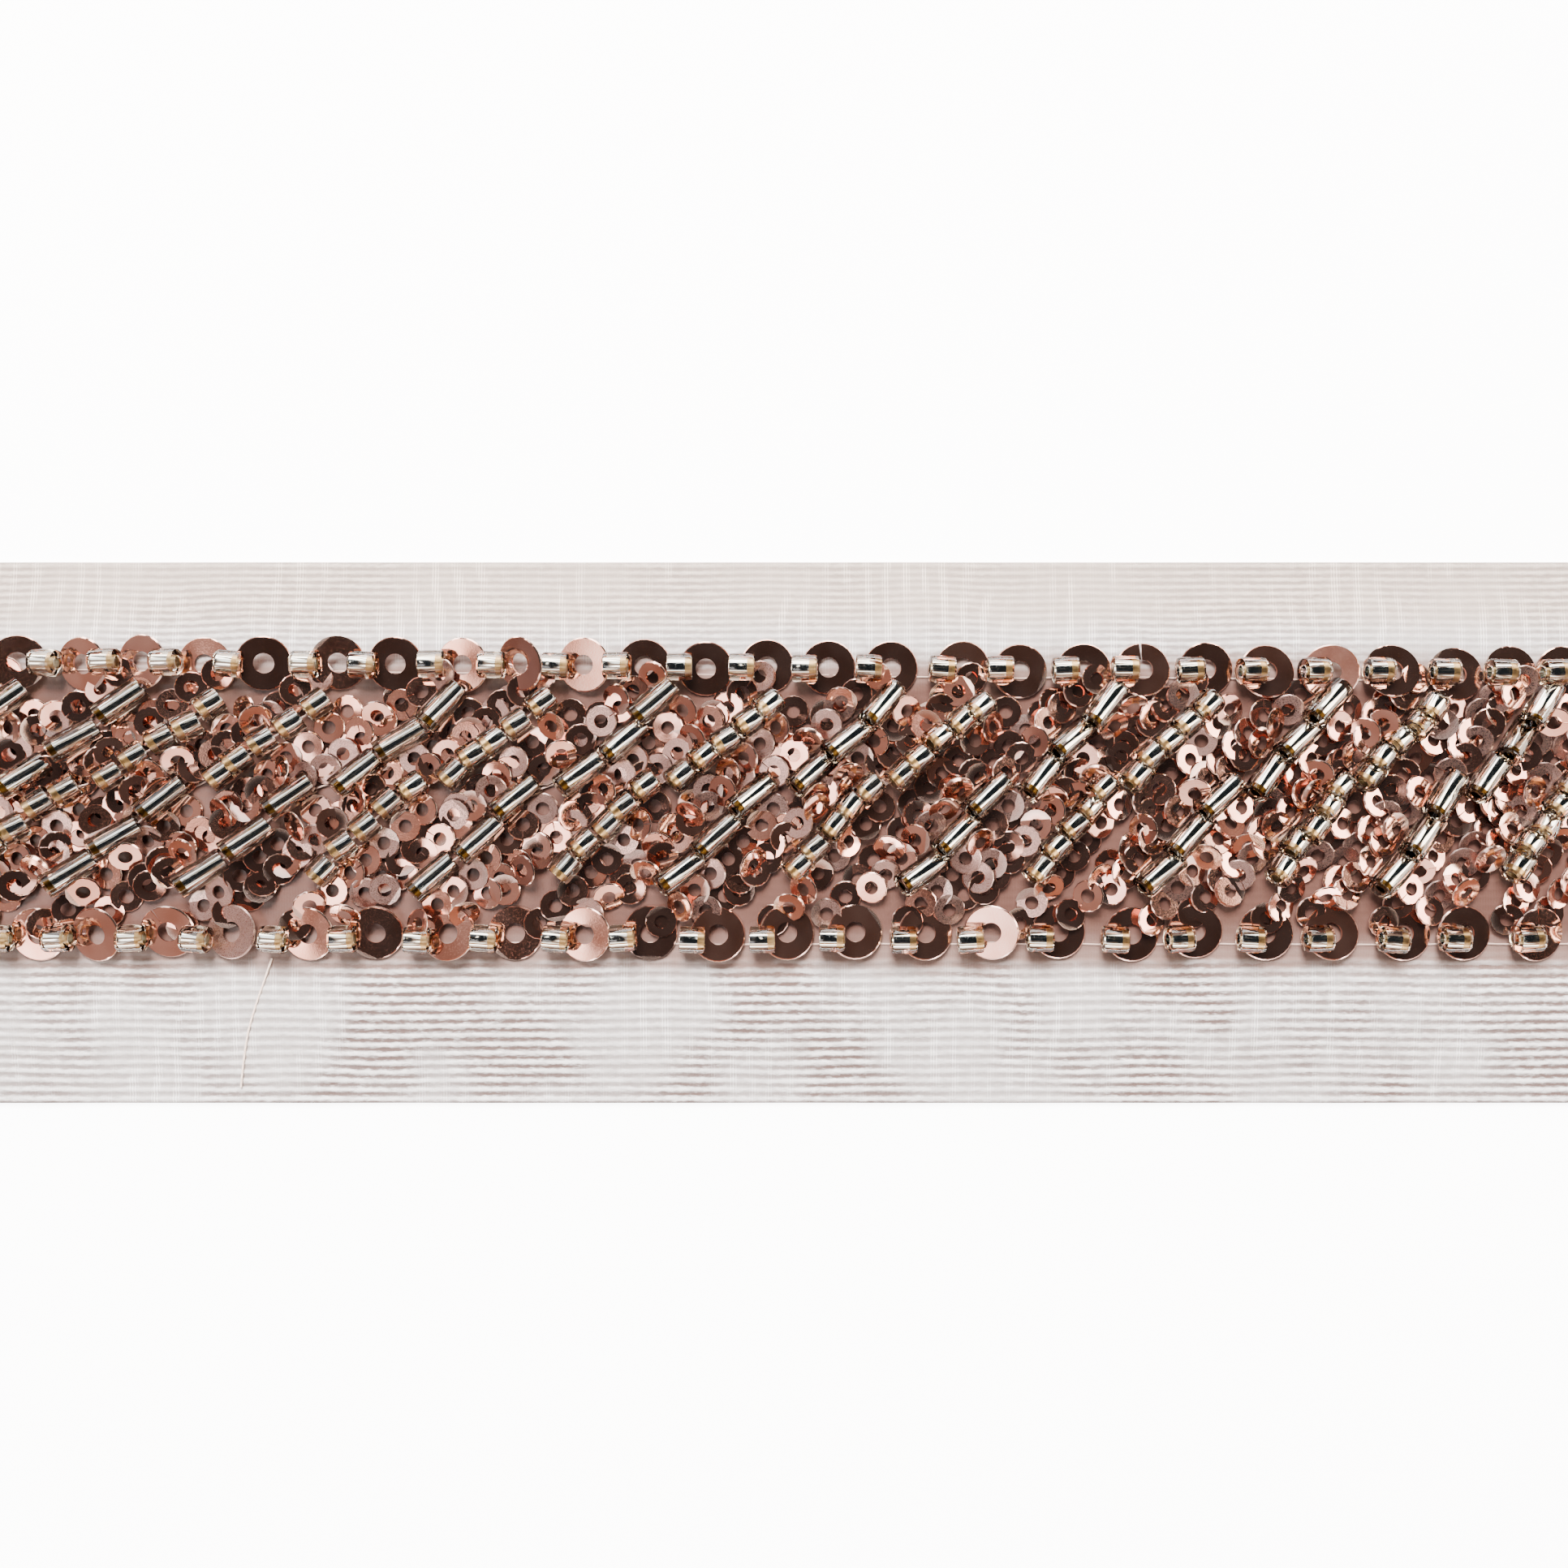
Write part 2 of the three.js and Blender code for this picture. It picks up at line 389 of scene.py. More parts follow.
@dataclass(frozen=True)
class OrganzaFinish:
    """Sheer ivory organza: pearly ribs with painted shade in their furrows, fine upright ticks, and painted
    shade under the beadwork.

    The crests are pearl, and cream above the beadwork. Close to the beadwork the cloth is darkened and
    tinted rose, painted shadow with a painted glow from the sequins, and deep in the beadwork it is darker
    still. Each of these two starts and ends over two stretches across the tape, which are counted in
    millimetres from the lower and the upper side of the beadwork. The pitches are in millimetres.
    """

    pearl: Color = (0.97, 0.955, 0.95, 1.0)
    cream: Color = (0.82, 0.71, 0.62, 1.0)
    # The furrow colour is painted shade between the ribs
    furrow_shade: Color = (0.12, 0.08, 0.072, 1.0)
    # Painted shadow and a painted rosy glow of the sequins, near the beadwork and deep under it
    work_shadow: Color = (0.19, 0.12, 0.10, 1.0)
    under_work_shade: Color = (0.095, 0.047, 0.037, 1.0)
    thread_pitch: float = 0.2
    tick_pitch: float = 1.5
    even_tone: float = 0.5
    tick_light: float = 0.6
    ragged: float = 2.4
    # Share and stretches of the painted shadow and glow near and under the beadwork
    work_shadow_share: float = 0.97
    work_shadow_start: tuple[float, float] = (-1.4, 1.0)
    work_shadow_end: tuple[float, float] = (-0.8, 1.8)
    under_work_shade_start: tuple[float, float] = (0.6, 3.6)
    under_work_shade_end: tuple[float, float] = (-2.4, -0.2)
    cream_fade: float = 3.0
    sheer: float = 0.03

    def weave(self, board: NodeBoard, along: Feed) -> bpy.types.NodeSocket:
        """Returns the fine upright threads of the cloth as a wave from -1 to 1."""
        return board.maths("SINE", board.maths("MULTIPLY", along, math.tau / self.thread_pitch))

    def rope_shading(self, board: NodeBoard, place: Feed) -> bpy.types.NodeSocket:
        """Paints the light and shade of the ribs, like twisted rope.

        Args:
            board: The material's board.
            place: The place in millimetres.

        Returns:
            The painted tone, from 0 for shade in a furrow to 1 on a bright crest.
        """
        slant = {"Vector": place, "Rotation": (0.0, 0.0, 0.55), "Scale": (1.6, 5.0, 1.0)}
        strokes = board.noise(board.add("ShaderNodeMapping", slant).outputs[0], 1.3, 3.0, 5.0)
        rib = board.maths("SUBTRACT", board.attribute("rib"), 0.7)
        crest = board.maths("MULTIPLY_ADD", strokes, 1.4, rib)
        drawn_out = board.add("ShaderNodeMapping", {"Vector": place, "Scale": (0.7, 2.2, 1.0)})
        twist = board.spread(board.noise(drawn_out.outputs[0], 1.0, 3.0, 1.0), 0.3, 0.62, 0.62, 1.0)
        return board.maths("MULTIPLY", board.spread(crest, 0.05, 1.05), twist)

    def ticks(self, board: NodeBoard, place: Feed, along: Feed) -> bpy.types.NodeSocket:
        """Gathers fine upright ticks in clusters that come and go along the tape.

        Args:
            board: The material's board.
            place: The place in millimetres.
            along: Its part along the tape.

        Returns:
            The light of the ticks, from 0 to 1.
        """
        drift = board.maths("MULTIPLY", board.noise(place, 0.12, 2.0, 9.0), 14.0)
        beat = board.maths("MULTIPLY_ADD", along, math.tau / self.tick_pitch, drift)
        cluster = board.spread(board.maths("SINE", beat), 0.0, 0.9)
        shown = board.spread(board.noise(place, 0.2, 2.0, 2.0), 0.42, 0.6, 0.15, 1.0)
        fine = board.maths("MULTIPLY", board.spread(self.weave(board, along), -0.2, 0.8), cluster)
        return board.maths("MULTIPLY", fine, shown)

    def rib_shade_and_ticks(self, board: NodeBoard, place: Feed, along: Feed, across: Feed) -> bpy.types.NodeSocket:
        """Lets the ribs' painted shade fade in patches, with ticks where it fades.

        Args:
            board: The material's board.
            place: The place in millimetres.
            along: Its part along the tape.
            across: Its part across the tape.

        Returns:
            The tone, from 0 for painted shade in a furrow to 1 on a bright crest.
        """
        fade = board.spread(board.noise(place, 0.11, 2.0, 3.0), 0.36, 0.58, 0.4, 1.0)
        upper = board.spread(across, WORK_TO_Y - 2.0, WORK_TO_Y, 1.0, 0.5)
        contrast = board.maths("MULTIPLY", fade, upper)
        even = board.maths("SUBTRACT", 1.0, contrast)
        level = board.maths("MULTIPLY", even, self.even_tone)
        tone = board.maths("MULTIPLY_ADD", self.rope_shading(board, place), contrast, level)
        ticks = board.maths("MULTIPLY", self.ticks(board, place, along), even)
        return board.maths("MULTIPLY_ADD", ticks, self.tick_light, tone)

    def within(
        self, board: NodeBoard, edge: Feed, start: tuple[float, float], end: tuple[float, float]
    ) -> bpy.types.NodeSocket:
        """Marks a stretch across the tape.

        Args:
            board: The material's board.
            edge: The place across the tape in millimetres, with its raggedness.
            start: From where to where it comes in, counted from the beadwork's lower side.
            end: From where to where it fades out, counted from the beadwork's upper side.

        Returns:
            A share that is 1 inside the stretch.
        """
        lower = board.spread(edge, WORK_FROM_Y + start[0], WORK_FROM_Y + start[1])
        upper = board.spread(edge, WORK_TO_Y + end[0], WORK_TO_Y + end[1], 1.0, 0.0)
        return board.maths("MULTIPLY", lower, upper)

    def make(self) -> bpy.types.Material:
        """Builds the material.

        Returns:
            The organza material.
        """
        material, board = new_material("organza")
        place = board.millimetres()
        axes = board.add("ShaderNodeSeparateXYZ", {0: place})
        along, across = axes.outputs[0], axes.outputs[1]
        edge = board.maths("MULTIPLY_ADD", board.noise(place, 0.35), self.ragged, across)
        # Masks for the painted shadow and glow near and under the beadwork
        near_work = self.within(board, edge, self.work_shadow_start, self.work_shadow_end)
        in_work = self.within(board, edge, self.under_work_shade_start, self.under_work_shade_end)
        high = board.spread(across, WORK_TO_Y, WORK_TO_Y + self.cream_fade)
        crest = board.blend(high, self.pearl, self.cream)
        # The rib furrows darken towards painted shade, the crests keep the cloth's own colour
        base = board.blend(self.rib_shade_and_ticks(board, place, along, across), self.furrow_shade, crest)
        # Paints the shadow and rosy glow of the beadwork onto the cloth, then deeper under it
        base = board.blend(board.maths("MULTIPLY", near_work, self.work_shadow_share), base, self.work_shadow)
        base = board.blend(in_work, base, self.under_work_shade)
        relief = board.maths("MULTIPLY", self.weave(board, along), 0.3)
        relief = board.maths("MULTIPLY_ADD", board.noise(place, 6.0, 3.0), 3.0, relief)
        bare = board.maths("SUBTRACT", 1.0, near_work)
        surface(
            board,
            Base_Color=base,
            Roughness=0.42,
            Specular_IOR_Level=0.6,
            Sheen_Weight=0.2,
            Sheen_Roughness=0.4,
            Alpha=board.maths("SUBTRACT", 1.0, board.maths("MULTIPLY", bare, self.sheer)),
            Normal=board.bump(relief, 0.02, 0.22),
        )
        return material


@dataclass(frozen=True)
class FilmFinish:
    """Rose-gold mirror film with fine scratches, a painted pale highlight along its rim, and dull where it
    is worn.
    """

    name: str
    color: Color = (0.77, 0.41, 0.32, 1.0)
    deep: Color = (0.61, 0.28, 0.20, 1.0)
    dusty: Color = (0.42, 0.31, 0.295, 1.0)
    rim_highlight: Color = (0.97, 0.74, 0.64, 1.0)
    metallic: float = 0.989
    gloss: float = 0.07
    haze: float = 0.08

    def make(self) -> bpy.types.Material:
        """Builds the material.

        Returns:
            The film material.
        """
        material, board = new_material(self.name)
        place = board.millimetres()
        lot = board.maths("MULTIPLY", board.attribute("lot"), 40.0)
        grain = board.noise(place, 9.0, 3.0, lot)
        stretched = board.add("ShaderNodeMapping", {"Vector": place, "Scale": (1.2, 9.0, 1.0)})
        scratch = board.noise(stretched.outputs[0], 1.3, 4.0, lot)
        rim = board.attribute("rim")
        tint = board.noise(place, 0.5, 1.0, lot)
        color = board.blend(board.spread(tint, 0.3, 0.7), self.color, self.deep)
        # A painted pale highlight along the rim
        color = board.blend(board.maths("MULTIPLY", rim, 0.8), color, self.rim_highlight)
        rough = board.spread(grain, 0.45, 0.75, self.gloss, self.gloss + self.haze)
        rough = board.maths("MAXIMUM", rough, board.maths("MULTIPLY", rim, 0.3))
        speckle = board.spread(board.noise(place, 20.0, 2.0, lot), 0.4, 0.6, 0.24, 0.46)
        worn = board.attribute("wear")
        rough = board.maths("MAXIMUM", rough, board.maths("MULTIPLY", worn, speckle))
        color = board.blend(board.maths("MULTIPLY", worn, 0.6), color, self.dusty)
        height = board.maths("ADD", grain, board.maths("MULTIPLY", scratch, 0.6))
        surface(
            board,
            Base_Color=color,
            Metallic=self.metallic,
            Roughness=rough,
            Normal=board.bump(height, 0.006, 0.22),
        )
        return material


@dataclass(frozen=True)
class GlassFinish:
    """Clear champagne glass, polished, with faint lines drawn along it."""

    color: Color = (1.0, 0.91, 0.77, 1.0)
    amber: Color = (1.0, 0.83, 0.62, 1.0)

    def make(self) -> bpy.types.Material:
        """Builds the material.

        Returns:
            The glass material.
        """
        material, board = new_material("bead_glass")
        place = board.millimetres()
        depth = board.noise(place, 0.9, 1.0)
        color = board.blend(board.spread(depth, 0.35, 0.65), self.color, self.amber)
        waves = board.noise(place, 2.2, 2.0)
        surface(
            board,
            Base_Color=color,
            Roughness=0.015,
            IOR=1.5,
            Transmission_Weight=1.0,
            Normal=board.bump(waves, 0.02, 0.05),
        )
        return material


@dataclass(frozen=True)
class SilverFinish:
    """The silver lining of a bead, bright with a few dull spots, and its bare end.

    In a bugle the bare end is painted dark, as painted shade inside its hollow bore, and in a seed bead it
    is golden. Its length is in millimetres.
    """

    color: Color = (0.82, 0.90, 0.98, 1.0)
    spot: Color = (0.70, 0.66, 0.60, 1.0)
    # Painted shade inside a bugle's hollow bore
    bore_shade: Color = (0.075, 0.043, 0.010, 1.0)
    golden: Color = (0.62, 0.46, 0.25, 1.0)
    bare_length: float = 0.42
    bare_fade: float = 0.06

    def make(self) -> bpy.types.Material:
        """Builds the material.

        Returns:
            The silver material.
        """
        material, board = new_material("bead_silver")
        place = board.millimetres()
        spots = board.noise(place, 3.0, 3.0)
        color = board.blend(board.spread(spots, 0.6, 0.75), self.color, self.spot)
        bare_end = self.bare_length + self.bare_fade
        bare = board.spread(board.attribute("along"), self.bare_length, bare_end, 1.0, 0.0)
        # A bugle's mouth is painted dark as the shade inside its bore
        mouth = board.blend(board.attribute("pale"), self.bore_shade, self.golden)
        color = board.blend(bare, color, mouth)
        dull = board.spread(spots, 0.5, 0.8, 0.04, 0.2)
        rough = board.maths("MAXIMUM", dull, board.maths("MULTIPLY", bare, 0.34))
        surface(board, Base_Color=color, Metallic=1.0, Roughness=rough)
        return material


@dataclass(frozen=True)
class ThreadFinish:
    """Fine twisted sewing thread, matt."""

    light: Color = (0.62, 0.46, 0.40, 1.0)
    dark: Color = (0.30, 0.18, 0.14, 1.0)
    peach: Color = (0.95, 0.74, 0.64, 1.0)

    def make(self) -> bpy.types.Material:
        """Builds the material.

        Returns:
            The thread material.
        """
        material, board = new_material("thread")
        place = board.millimetres()
        twist = board.add("ShaderNodeTexWave", {"Vector": place, "Scale": 5.0, "Distortion": 1.0})
        twist.bands_direction = "DIAGONAL"
        color = board.blend(twist.outputs["Fac"], self.dark, self.light)
        color = board.blend(board.attribute("bright"), color, self.peach)
        bump = board.bump(twist.outputs["Fac"], 0.02, 0.6)
        surface(board, Base_Color=color, Roughness=0.7, Sheen_Weight=0.3, Normal=bump)
        return material


@dataclass(frozen=True)
class BeadModel:
    """One shape of bead: a glass tube with rounded ends, and the silver lining in its bore.

    Lengths are in millimetres. The bore and the lining's wall are shares of a diameter and a radius.
    """

    kind: BeadKind
    diameter: float
    length: float
    lining: float
    rounding: float
    bore_share: float = 0.47
    lining_proud: float = 0.02
    lining_wall: float = 0.16
    sides: int = 14
    smooth: float = 50.0

    def tube(self, name: str, radius: float, length: float, wall: float) -> bpy.types.Object:
        """Makes an open tube along X.

        Args:
            name: The object's name.
            radius: Its outer radius in millimetres.
            length: Its length in millimetres.
            wall: The thickness of its wall in millimetres.

        Returns:
            The tube.
        """
        bpy.ops.mesh.primitive_cylinder_add(
            vertices=self.sides, radius=radius * MM, depth=length * MM, rotation=(0.0, math.pi / 2, 0.0)
        )
        item = bpy.context.active_object
        item.name = name
        bpy.ops.object.transform_apply(location=True, rotation=True, scale=True)
        with editing(item):
            select_where(item, "FACE", lambda face: abs(face.normal.x) > SQUARE_ON)
            bpy.ops.mesh.inset(thickness=wall * MM, depth=0.0)
            bpy.ops.mesh.bridge_edge_loops()
        return item

    def glass(self, material: bpy.types.Material) -> bpy.types.Object:
        """Makes the glass body.

        Args:
            material: The glass finish.

        Returns:
            The glass tube, centred on the origin.
        """
        radius = self.diameter / 2
        wall = radius * (1 - self.bore_share)
        item = self.tube(f"model_{self.kind.value}_glass", radius, self.length, wall)
        outer = radius * SQUARE_ON * MM

        def on_rim(edge: bmesh.types.BMEdge) -> bool:
            """True for the edges around the two outer ends."""
            start, end = (vert.co for vert in edge.verts)
            level = abs(start.x - end.x) < MERGE * 10
            return level and min(start.yz.length, end.yz.length) > outer

        with editing(item):
            select_where(item, "EDGE", on_rim)
            bpy.ops.mesh.bevel(offset=self.rounding * MM, segments=2, profile=0.6, affect="EDGES")
        face_outwards(item, self.smooth)
        item.data.materials.append(material)
        return item

    def silver(self, material: bpy.types.Material) -> bpy.types.Object:
        """Makes the lining.

        Args:
            material: The silver finish.

        Returns:
            The thin silver tube, a little thicker than the bore so that it sits in the glass.
        """
        radius = self.diameter / 2 * (self.bore_share + self.lining_proud)
        wall = radius * self.lining_wall
        item = self.tube(f"model_{self.kind.value}_silver", radius, self.lining, wall)
        mark(item, "along", [vert.co.x / MM + self.lining / 2 for vert in item.data.vertices])
        face_outwards(item, self.smooth)
        item.data.materials.append(material)
        return item


SEED = BeadModel(BeadKind.SEED, diameter=2.0, length=1.85, lining=1.65, rounding=0.2)
BUGLE = BeadModel(BeadKind.BUGLE, diameter=1.9, length=3.75, lining=3.5, rounding=0.13)


@dataclass(frozen=True)
class SequinModel:
    """One size of sequin: a punched disc of film, level, dished, curled or slit.

    Lengths are in millimetres. The dish is the depth of the pressed middle. The bends and the slit are in
    degrees.
    """

    name: str
    diameter: float
    hole: float
    thickness: float
    sides: int
    rim: float
    dish: float
    bends: tuple[float, ...]
    slit: float = 5.0
    smooth: float = 32.0

    def level(self, material: bpy.types.Material) -> bpy.types.Object:
        """Makes a level disc with its hole and a softened upper edge.

        Args:
            material: The film finish.

        Returns:
            The disc, centred on the origin.
        """
        radius = self.diameter / 2
        bpy.ops.mesh.primitive_cylinder_add(
            vertices=self.sides, radius=radius * MM, depth=self.thickness * MM
        )
        item = bpy.context.active_object
        item.name = f"model_{self.name}"
        with editing(item):
            select_where(item, "FACE", lambda face: abs(face.normal.z) > SQUARE_ON)
            bpy.ops.mesh.inset(thickness=(radius - self.hole / 2) * MM, depth=0.0)
            bpy.ops.mesh.bridge_edge_loops()
        self.soften(item)
        item.data.materials.append(material)
        return item

    def soften(self, item: bpy.types.Object) -> None:
        """Bevels the upper outer edge and marks the rim, where the film paints a pale highlight.

        Args:
            item: The disc.
        """
        outer = self.diameter / 2 * SQUARE_ON * MM
        top = self.thickness / 4 * MM

        def on_top_rim(edge: bmesh.types.BMEdge) -> bool:
            """True for the edges around the upper outer corner."""
            start, end = (vert.co for vert in edge.verts)
            return min(start.xy.length, end.xy.length) > outer and min(start.z, end.z) > top

        with editing(item):
            select_where(item, "EDGE", on_top_rim)
            bpy.ops.mesh.bevel(offset=self.rim * MM, segments=1, affect="EDGES")
        face_outwards(item, self.smooth)
        # The rim that the film paints with a pale highlight starts at this radius
        rim_highlight = (self.diameter - self.rim) / 2 * MM
        mark(item, "rim", [float(vert.co.xy.length > rim_highlight) for vert in item.data.vertices])

    def dished(self, material: bpy.types.Material) -> bpy.types.Object:
        """Makes a disc whose middle is pressed down.

        Args:
            material: The film finish.

        Returns:
            The dished disc.
        """
        item = self.level(material)
        inner = self.hole / 2 * 1.1 * MM
        with editing(item):
            select_where(item, "VERT", lambda vert: vert.co.xy.length < inner)
            bpy.ops.transform.translate(value=(0.0, 0.0, -self.dish * MM))
        return item

    def curled(self, material: bpy.types.Material, bend: float) -> bpy.types.Object:
        """Makes a disc that is bent across its middle.

        Args:
            material: The film finish.
            bend: The bend from edge to edge in degrees.

        Returns:
            The curled disc.
        """
        item = self.level(material)
        pick(item)
        curl = item.modifiers.new("curl", "SIMPLE_DEFORM")
        curl.deform_method = "BEND"
        curl.deform_axis = "Y"
        curl.angle = math.radians(bend)
        bpy.ops.object.modifier_apply(modifier=curl.name)
        return item

    def cut(self, material: bpy.types.Material) -> bpy.types.Object:
        """Makes a disc with a narrow radial slit, by spinning its section.

        Args:
            material: The film finish.

        Returns:
            The slit disc.
        """
        inner, outer = self.hole / 2 * MM, self.diameter / 2 * MM
        bpy.ops.mesh.primitive_plane_add(size=1.0, rotation=(math.pi / 2, 0.0, 0.0))
        item = bpy.context.active_object
        item.name = f"model_{self.name}_slit"
        item.scale = (outer - inner, self.thickness * MM, 1.0)
        item.location = ((inner + outer) / 2, 0.0, 0.0)
        bpy.ops.object.transform_apply(location=True, rotation=True, scale=True)
        turn = math.radians(360.0 - self.slit)
        with editing(item):
            bpy.ops.mesh.select_all(action="SELECT")
            bpy.ops.mesh.spin(steps=self.sides, angle=turn, center=(0.0, 0.0, 0.0), axis=(0.0, 0.0, 1.0))
        self.soften(item)
        item.data.materials.append(material)
        return item


LARGE_SEQUIN = SequinModel(
    name="large_sequin",
    diameter=4.0,
    hole=1.5,
    thickness=0.12,
    sides=28,
    rim=0.09,
    dish=0.05,
    bends=(4.0,),
)
SMALL_SEQUIN = SequinModel(
    name="small_sequin",
    diameter=2.36,
    hole=1.04,
    thickness=0.10,
    sides=14,
    rim=0.075,
    dish=0.06,
    bends=(7.0, 14.0),
)


@dataclass(frozen=True)
class SequinStock:
    """The finished models of one size of sequin, to be copied onto the trim."""

    size: SequinModel
    models: tuple[bpy.types.Object, ...]

    @classmethod
    def stamped(cls, size: SequinModel, material: bpy.types.Material) -> "SequinStock":
        """Makes one model of each form.

        Args:
            size: The size of the sequins.
            material: Their film.

        Returns:
            The stock.
        """
        curls = [size.curled(material, bend) for bend in size.bends]
        plain = [size.level(material), size.dished(material), size.cut(material)]
        return cls(size, tuple(plain + curls))

    def laid(self, draw: random.Random, lie: Lie, x: float, y: float, floor: float) -> bpy.types.Object:
        """Lays one sequin on the cloth.

        Args:
            draw: The source of its small differences.
            lie: How it lies.
            x: Its centre along the tape, in millimetres.
            y: Its centre across the tape, in millimetres.
            floor: The height of what it lies on, in millimetres.

        Returns:
            The sequin.
        """
        lean = LEANS[lie]
        tilt = draw.uniform(*lean.tilt)
        facing = draw.uniform(*lean.facing)
        turn = lean_matrix(tilt, facing, draw.uniform(0.0, 360.0))
        height = floor + self.size.thickness + self.size.diameter / 2 * math.sin(math.radians(tilt))
        spot = Matrix.Translation(Vector((x, y, height)) * MM)
        model = draw.choice(self.models)
        return placed_copy(model, spot @ turn, lot=draw.random(), wear=lean.wear)


@dataclass(frozen=True)
class BeadStock:
    """The finished glass and silver models of both bead shapes.

    The play is how far in millimetres a lining may stand off the middle of its bead.
    """

    glass: dict[BeadKind, bpy.types.Object]
    silver: dict[BeadKind, bpy.types.Object]
    play: tuple[float, float] = (-0.03, 0.06)

    @classmethod
    def drawn(cls, glass: bpy.types.Material, silver: bpy.types.Material) -> "BeadStock":
        """Makes the models.

        Args:
            glass: The glass finish.
            silver: The lining's finish.

        Returns:
            The stock.
        """
        kinds = (SEED, BUGLE)
        bodies = {model.kind: model.glass(glass) for model in kinds}
        linings = {model.kind: model.silver(silver) for model in kinds}
        return cls(bodies, linings)


@dataclass(frozen=True)
class BeadSpot:
    """Where one bead lies: its kind, its centre in millimetres, and its slope and dip in degrees."""

    kind: BeadKind
    x: float
    y: float
    z: float
    slope: float
    dip: float

    def place(self, roll: float) -> Matrix:
        """Returns the bead's place as a matrix, rolled about its own axis by so many degrees."""
        turn = Matrix.Rotation(math.radians(self.slope), 4, "Z")
        nod = Matrix.Rotation(math.radians(self.dip), 4, "Y")
        spun = Matrix.Rotation(math.radians(roll), 4, "X")
        return Matrix.Translation(Vector((self.x, self.y, self.z)) * MM) @ turn @ nod @ spun


def hand_over(piece: bpy.types.Object, slot: str, *nodes: str) -> None:
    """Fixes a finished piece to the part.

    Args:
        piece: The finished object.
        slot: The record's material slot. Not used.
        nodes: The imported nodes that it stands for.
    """
    if nodes:
        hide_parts(*nodes)
    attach(piece, BODY)
    LOG.info("%s: %d faces", piece.name, len(piece.data.polygons))


def lay_beads(stock: BeadStock, spots: Sequence[BeadSpot], node: str, draw: random.Random) -> None:
    """Makes the glass piece and the silver piece of one string of beads.

    Args:
        stock: The bead models.
        spots: Where the beads lie.
        node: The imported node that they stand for, and the start of both pieces' names.
        draw: The source of their small differences.
    """
    places = [spot.place(draw.uniform(0.0, 360.0)) for spot in spots]
    shifts = [Matrix.Translation((draw.uniform(*stock.play) * MM, 0.0, 0.0)) for _ in spots]
    inner = [place @ shift for place, shift in zip(places, shifts)]
    bodies = [placed_copy(stock.glass[s.kind], place) for s, place in zip(spots, places)]
    linings = [
        placed_copy(stock.silver[s.kind], place, pale=float(s.kind is BeadKind.SEED))
        for s, place in zip(spots, inner)
    ]
    hand_over(gathered(bodies, f"{node}_glass"), "bead_glass", node)
    hand_over(gathered(linings, f"{node}_silver"), "bead_silver", node)


@dataclass(frozen=True)
class Ribs:
    """The ribs of one stretch of cloth: where it starts across the tape, their step and height.

    The rows are how many rows of points each rib has.
    """

    from_y: float
    pitch: float
    height: float
    rows: int


